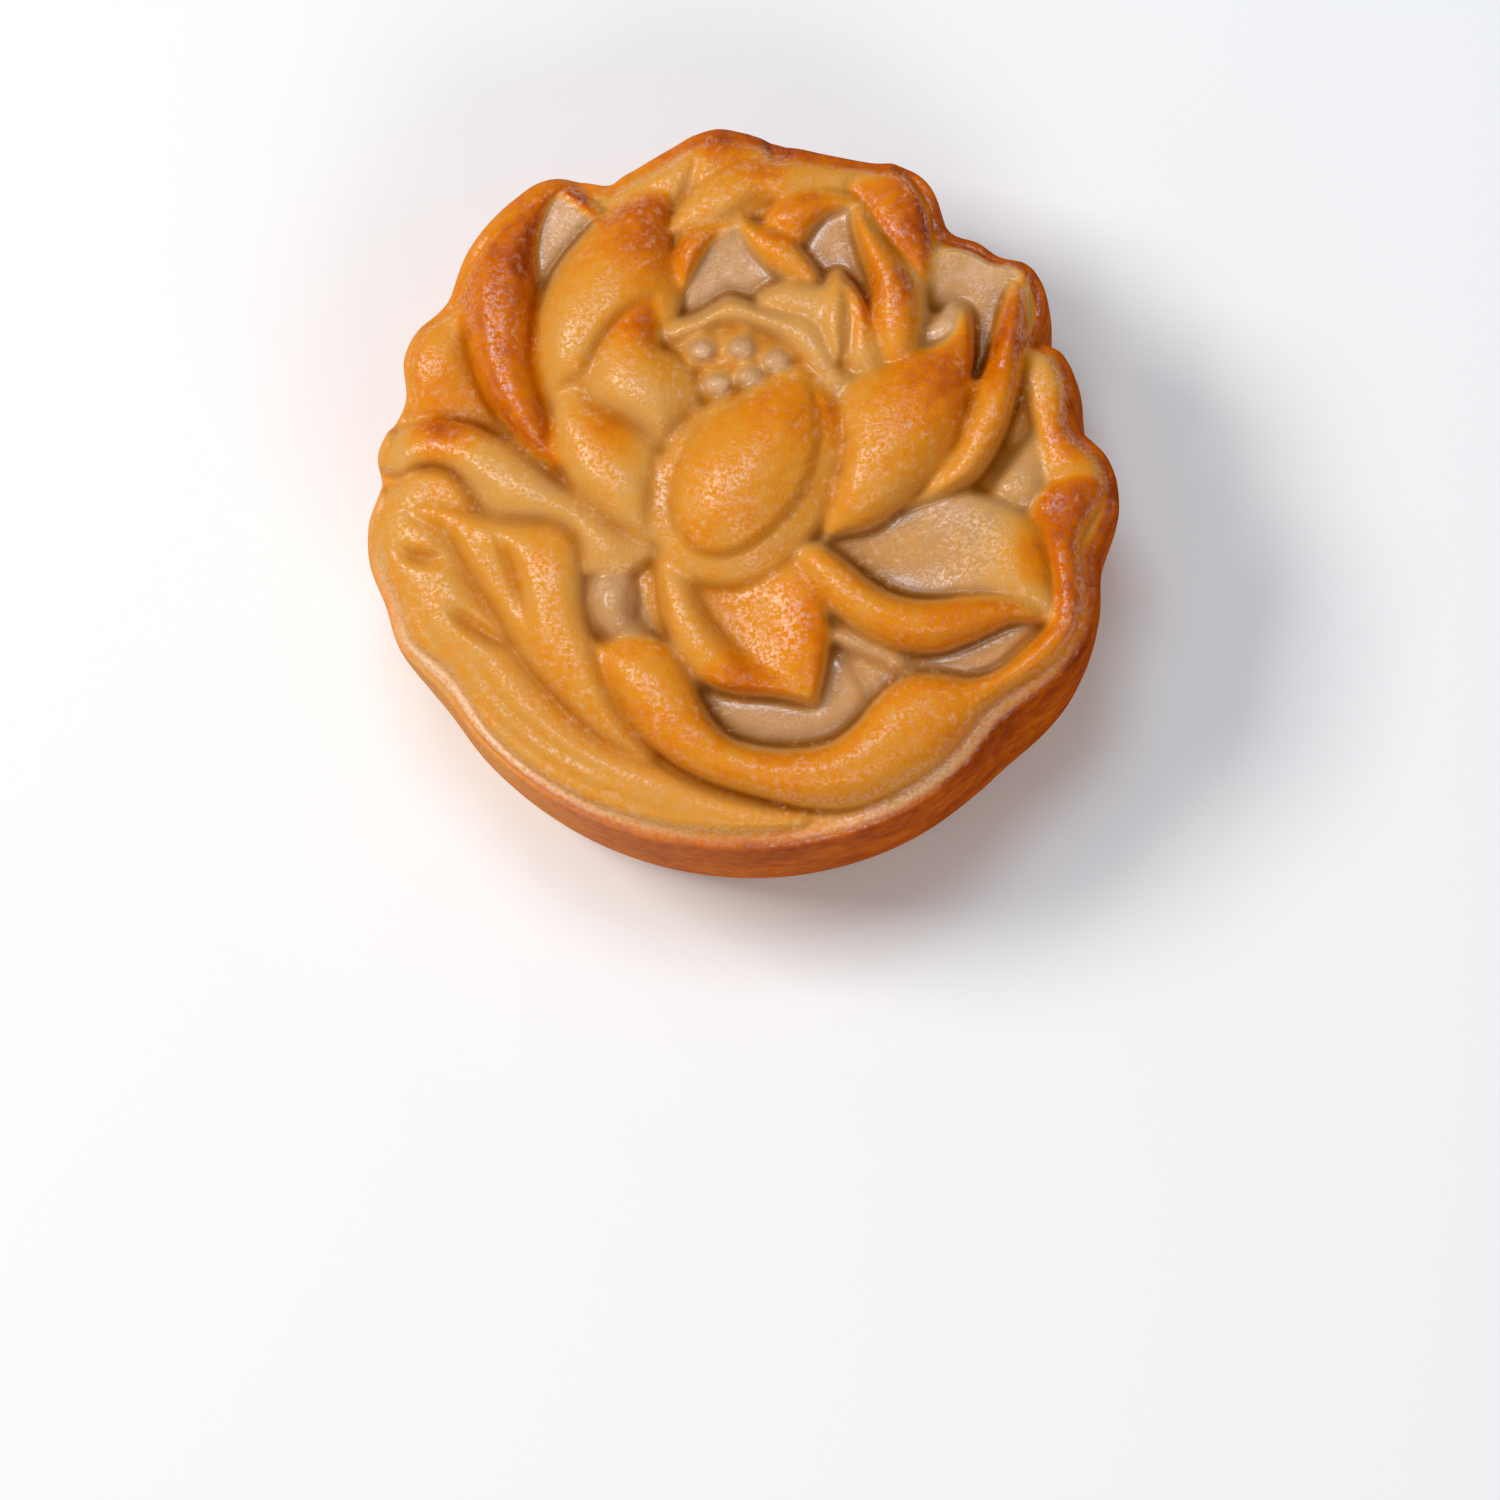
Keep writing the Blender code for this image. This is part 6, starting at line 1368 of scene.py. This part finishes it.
@dataclass(frozen=True)
class Crust:
    """Baked crust under an egg wash, with its sizes in millimetres.

    A span holds the values at which something sets in and is full. A noise's share is how much of it is
    felt, and for grain and dimples how high they stand.
    """

    # colours by how brown a place is, where the dark khaki at 0.12 that the hollows take is partly painted
    # shade, how much browner a raised place is, and up to which height
    tones: tuple[tuple[float, Tone], ...] = (
        (0.0, (222, 172, 126)), (0.12, (190, 140, 88)), (0.26, (214, 156, 84)), (0.4, (222, 154, 62)),
        (0.52, (226, 142, 26)), (0.64, (226, 126, 0)), (0.78, (204, 98, 0)), (0.9, (170, 70, 0)),
        (1.0, (134, 46, 0)))
    crest_bake: float = 0.06
    crest_most: float = 4.0
    # clouds in the browning
    broad: Noise = Noise(7.0, share=0.28)
    middle: Noise = Noise(1.5, 3.0, share=0.3)
    fine: Noise = Noise(0.42, 3.0, 0.6, share=0.2)
    # painted shade: the tones that darken hollows and folds, and over which crest and fold traits
    hollow_shade_tone: Tone = (204, 188, 160)
    sunk: Span = (0.15, -1.35)
    fold_shade_tone: Tone = (216, 194, 146)
    fold: Span = (0.05, 0.6)
    # pale specks, partly pale spots in the crust and partly painted highlight grains, which lie where their
    # noise and the broad clouds are thick, and the pale bead's grains, partly painted highlight
    speck_and_glint_tone: Tone = (244, 202, 166)
    speck: Noise = Noise(0.8, 3.0, 0.6, share=0.3)
    speck_rise: Span = (0.5, 0.72)
    speck_clouds: Span = (0.4, 0.6)
    bead_sheen_tone: Tone = (252, 206, 170)
    bead_sheen_grains: Span = (0.2, 0.6)
    # bumps
    grain: Noise = Noise(0.3, 4.0, 0.65, share=0.05)
    dimples: Noise = Noise(1.2, 3.0, 0.55, share=0.07)
    # the dry crust, and the egg wash in patches over it: not in folds, and hardly on the wall
    dry_roughness: float = 0.8
    roughness: float = 0.28
    gloss: float = 0.65
    coat: float = 0.25
    coat_roughness: float = 0.22
    patches: Span = (0.4, 0.62)
    bare_fold: Span = (0.05, 0.3)
    bare_wall: float = 0.93
    # where the wash pools, by the crest and bake traits, and how smooth and glossy it is there
    pool_crest: Span = (-0.05, -0.7)
    pool_bake: Span = (0.4, 0.3)
    pool_smooth: float = 0.4
    pool_roughness: float = 0.18
    pool_coat: float = 0.5

    def dress(self, cake: bpy.types.Object) -> None:
        """Give the cake its crust: a dry one and a washed one, mixed by where the egg wash lies.

        How brown a place is: its bake, crest_bake times its height above the places round it, and each
        cloud's share times the noise less 0.5. Hollows and folds are multiplied by their tones, which is
        painted shade, and specks and the bead are mixed with theirs, partly as painted highlight grains.
        The wash lies in patches of the fine noise, and all over in pools, which are pale and sunk. The
        bumps are lower in pools, by pool_smooth.

        Args:
            cake: the cake's object.
        """
        shader = ShaderTree(SLOT)
        bake, crest, fold, wall, pale = (shader.trait(trait) for trait in Trait)
        broad, middle, fine = (shader.noise(noise) for noise in (self.broad, self.middle, self.fine))
        clouds = ((broad - 0.5) * self.broad.share + (middle - 0.5) * self.middle.share
                  + (fine - 0.5) * self.fine.share)
        raised = crest.held(0.0, self.crest_most) * self.crest_bake
        brown = (bake + raised + clouds).held(0.0, 1.0)
        stops = [(place, linear(*tone)) for place, tone in self.tones]
        colour = shader.node("ShaderNodeValToRGB", {"stops": stops}, {"Fac": brown})
        # painted shade: hollows and folds are darkened by multiplying the colour with their shade tones
        sunk, folded = crest.rise(*self.sunk), fold.rise(*self.fold)
        for share, tone in ((sunk, self.hollow_shade_tone), (folded, self.fold_shade_tone)):
            colour = shader.mix(share, colour, shader.mix(1.0, colour, linear(*tone), "MULTIPLY"))
        # pale specks: partly pale spots in the crust, partly painted highlight grains
        specks = shader.noise(self.speck).rise(*self.speck_rise) * (1.0 - wall) * self.speck.share
        colour = shader.mix(specks * broad.rise(*self.speck_clouds), colour, linear(*self.speck_and_glint_tone))
        # painted highlight: pale grains over the bead, partly pale crust
        colour = shader.mix(pale * fine.rise(*self.bead_sheen_grains), colour, linear(*self.bead_sheen_tone))
        grain = shader.noise(self.grain) * self.grain.share
        dimples = shader.noise(self.dimples) * self.dimples.share
        pool = crest.rise(*self.pool_crest) * bake.rise(*self.pool_bake)
        bump = shader.node("ShaderNodeBump", {}, {
            "Height": (grain + dimples) * (1.0 - pool * self.pool_smooth), "Distance": MM, "Strength": 1.0})
        dry = shader.node("ShaderNodeBsdfPrincipled", {}, {
            "Base Color": colour, "Roughness": self.dry_roughness, "Specular IOR Level": 0.0,
            "Normal": bump})
        washed = shader.node("ShaderNodeBsdfPrincipled", {}, {
            "Base Color": colour, "Specular IOR Level": self.gloss, "Coat Roughness": self.coat_roughness,
            "Roughness": self.roughness - pool * (self.roughness - self.pool_roughness),
            "Coat Weight": self.coat + pool * (self.pool_coat - self.coat), "Normal": bump})
        patches = fine.rise(*self.patches)
        open_crust = (1.0 - wall * self.bare_wall) * (1.0 - fold.rise(*self.bare_fold))
        wash = open_crust * (patches + (1.0 - patches) * pool)
        shader.show(shader.node("ShaderNodeMixShader", {}, {0: wash, 1: dry, 2: washed}))
        cake.data.materials.append(shader.material)
        LOG.info("crust: %d tones", len(self.tones))


@dataclass(frozen=True)
class Softbox:
    """A square studio light, placed about the cake's top by its direction and distance."""

    name: str
    azimuth: float
    elevation: float
    distance: float
    side: float
    power: float
    colour: tuple[float, float, float]


@dataclass(frozen=True)
class Camera:
    """Where the camera stands: over the cake, leaning to its lower border. Lengths in metres."""

    distance: float = 0.8
    lean: float = 9.8
    azimuth: float = -78.0
    aim: tuple[float, float, float] = (0.00073, -0.02641, 0.030)
    focus: tuple[float, float, float] = (0.0, 0.0, 0.030)
    lens: float = 192.3
    nearest: float = 0.01
    farthest: float = 20.0


@dataclass(frozen=True)
class Studio:
    """Plain pale floor, soft lights and the camera. Lengths in metres."""

    floor_side: float = 6.0
    floor_tone: Tone = (250, 250, 250)
    floor_roughness: float = 0.9
    floor_gloss: float = 0.1
    air_tone: tuple[float, float, float] = (0.97, 0.98, 1.0)
    air_strength: float = 0.2
    lights: tuple[Softbox, ...] = (
        Softbox("window", 163.0, 52.0, 0.8, 0.28, 3.75, (1.0, 0.97, 0.94)),
        Softbox("sky", 102.0, 76.0, 0.8, 0.22, 1.9, (0.7, 0.85, 1.0)),
        Softbox("lamp", 290.0, 48.0, 0.8, 0.35, 1.5, (1.0, 0.94, 0.88)),
    )
    camera: Camera = field(default_factory=Camera)

    def lay_floor(self) -> None:
        """Lay the floor, a square at the height of 0."""
        h = self.floor_side / 2.0
        mesh = bpy.data.meshes.new("floor")
        mesh.from_pydata([(-h, -h, 0.0), (h, -h, 0.0), (h, h, 0.0), (-h, h, 0.0)], [], [(0, 1, 2, 3)])
        shader = ShaderTree("pale_floor")
        shader.show(shader.node("ShaderNodeBsdfPrincipled", {}, {
            "Base Color": linear(*self.floor_tone), "Roughness": self.floor_roughness,
            "Specular IOR Level": self.floor_gloss}))
        mesh.materials.append(shader.material)
        floor = bpy.data.objects.new("floor", mesh)
        bpy.context.scene.collection.objects.link(floor)

    @staticmethod
    def direction(azimuth: float, elevation: float) -> Vector:
        """Unit vector to a compass direction, from +X towards +Y, and an elevation, both in degrees."""
        a, e = np.radians(azimuth), np.radians(elevation)
        return Vector((np.cos(a) * np.cos(e), np.sin(a) * np.cos(e), np.sin(e)))

    def hang(self, softbox: Softbox) -> None:
        """Hang a light so that it faces the cake's top.

        Args:
            softbox: the light.
        """
        light = bpy.data.lights.new(softbox.name, "AREA")
        light.shape, light.size = "SQUARE", softbox.side
        light.energy, light.color = softbox.power, softbox.colour
        lamp = bpy.data.objects.new(softbox.name, light)
        away = self.direction(softbox.azimuth, softbox.elevation)
        lamp.location = Vector(self.camera.focus) + away * softbox.distance
        lamp.rotation_mode = "QUATERNION"
        lamp.rotation_quaternion = away.to_track_quat("Z", "Y")
        bpy.context.scene.collection.objects.link(lamp)

    def place_camera(self) -> None:
        """Place the camera so that the relief's +Y points up in the picture.

        Right is ahead x Y made a unit long, and up is right x ahead.
        """
        scene = bpy.context.scene
        spot = Vector(self.camera.focus)
        spot += self.direction(self.camera.azimuth, 90.0 - self.camera.lean) * self.camera.distance
        ahead = (Vector(self.camera.aim) - spot).normalized()
        right = ahead.cross(Vector((0.0, 1.0, 0.0))).normalized()
        up = right.cross(ahead)
        data = bpy.data.cameras.new("camera")
        data.lens = self.camera.lens
        data.clip_start, data.clip_end = self.camera.nearest, self.camera.farthest
        camera = bpy.data.objects.new("camera", data)
        turn = Matrix((right, up, -ahead)).transposed()
        camera.matrix_world = Matrix.Translation(spot) @ turn.to_4x4()
        scene.collection.objects.link(camera)
        scene.camera = camera

    def set_up(self) -> None:
        """Set up the floor, the lights, the air's glow and the camera."""
        scene = bpy.context.scene
        self.lay_floor()
        for softbox in self.lights:
            self.hang(softbox)
        world = bpy.data.worlds.new("air")
        world.use_nodes = True
        glow = world.node_tree.nodes["Background"]
        glow.inputs["Color"].default_value = (*self.air_tone, 1.0)
        glow.inputs["Strength"].default_value = self.air_strength
        scene.world = world
        scene.view_settings.view_transform = "Standard"
        self.place_camera()
        LOG.info("studio: %d lights", len(self.lights))


def main() -> None:
    """Build the cake, dress it, tell the frame about it and set up the studio."""
    logging.basicConfig(level=logging.INFO, format="%(name)s: %(message)s")
    cake = Cake(CakeSizes()).build()
    Crust().dress(cake)
    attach(cake, "root")
    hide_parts(NODE)
    Studio().set_up()


if __name__ == "__main__":
    main()
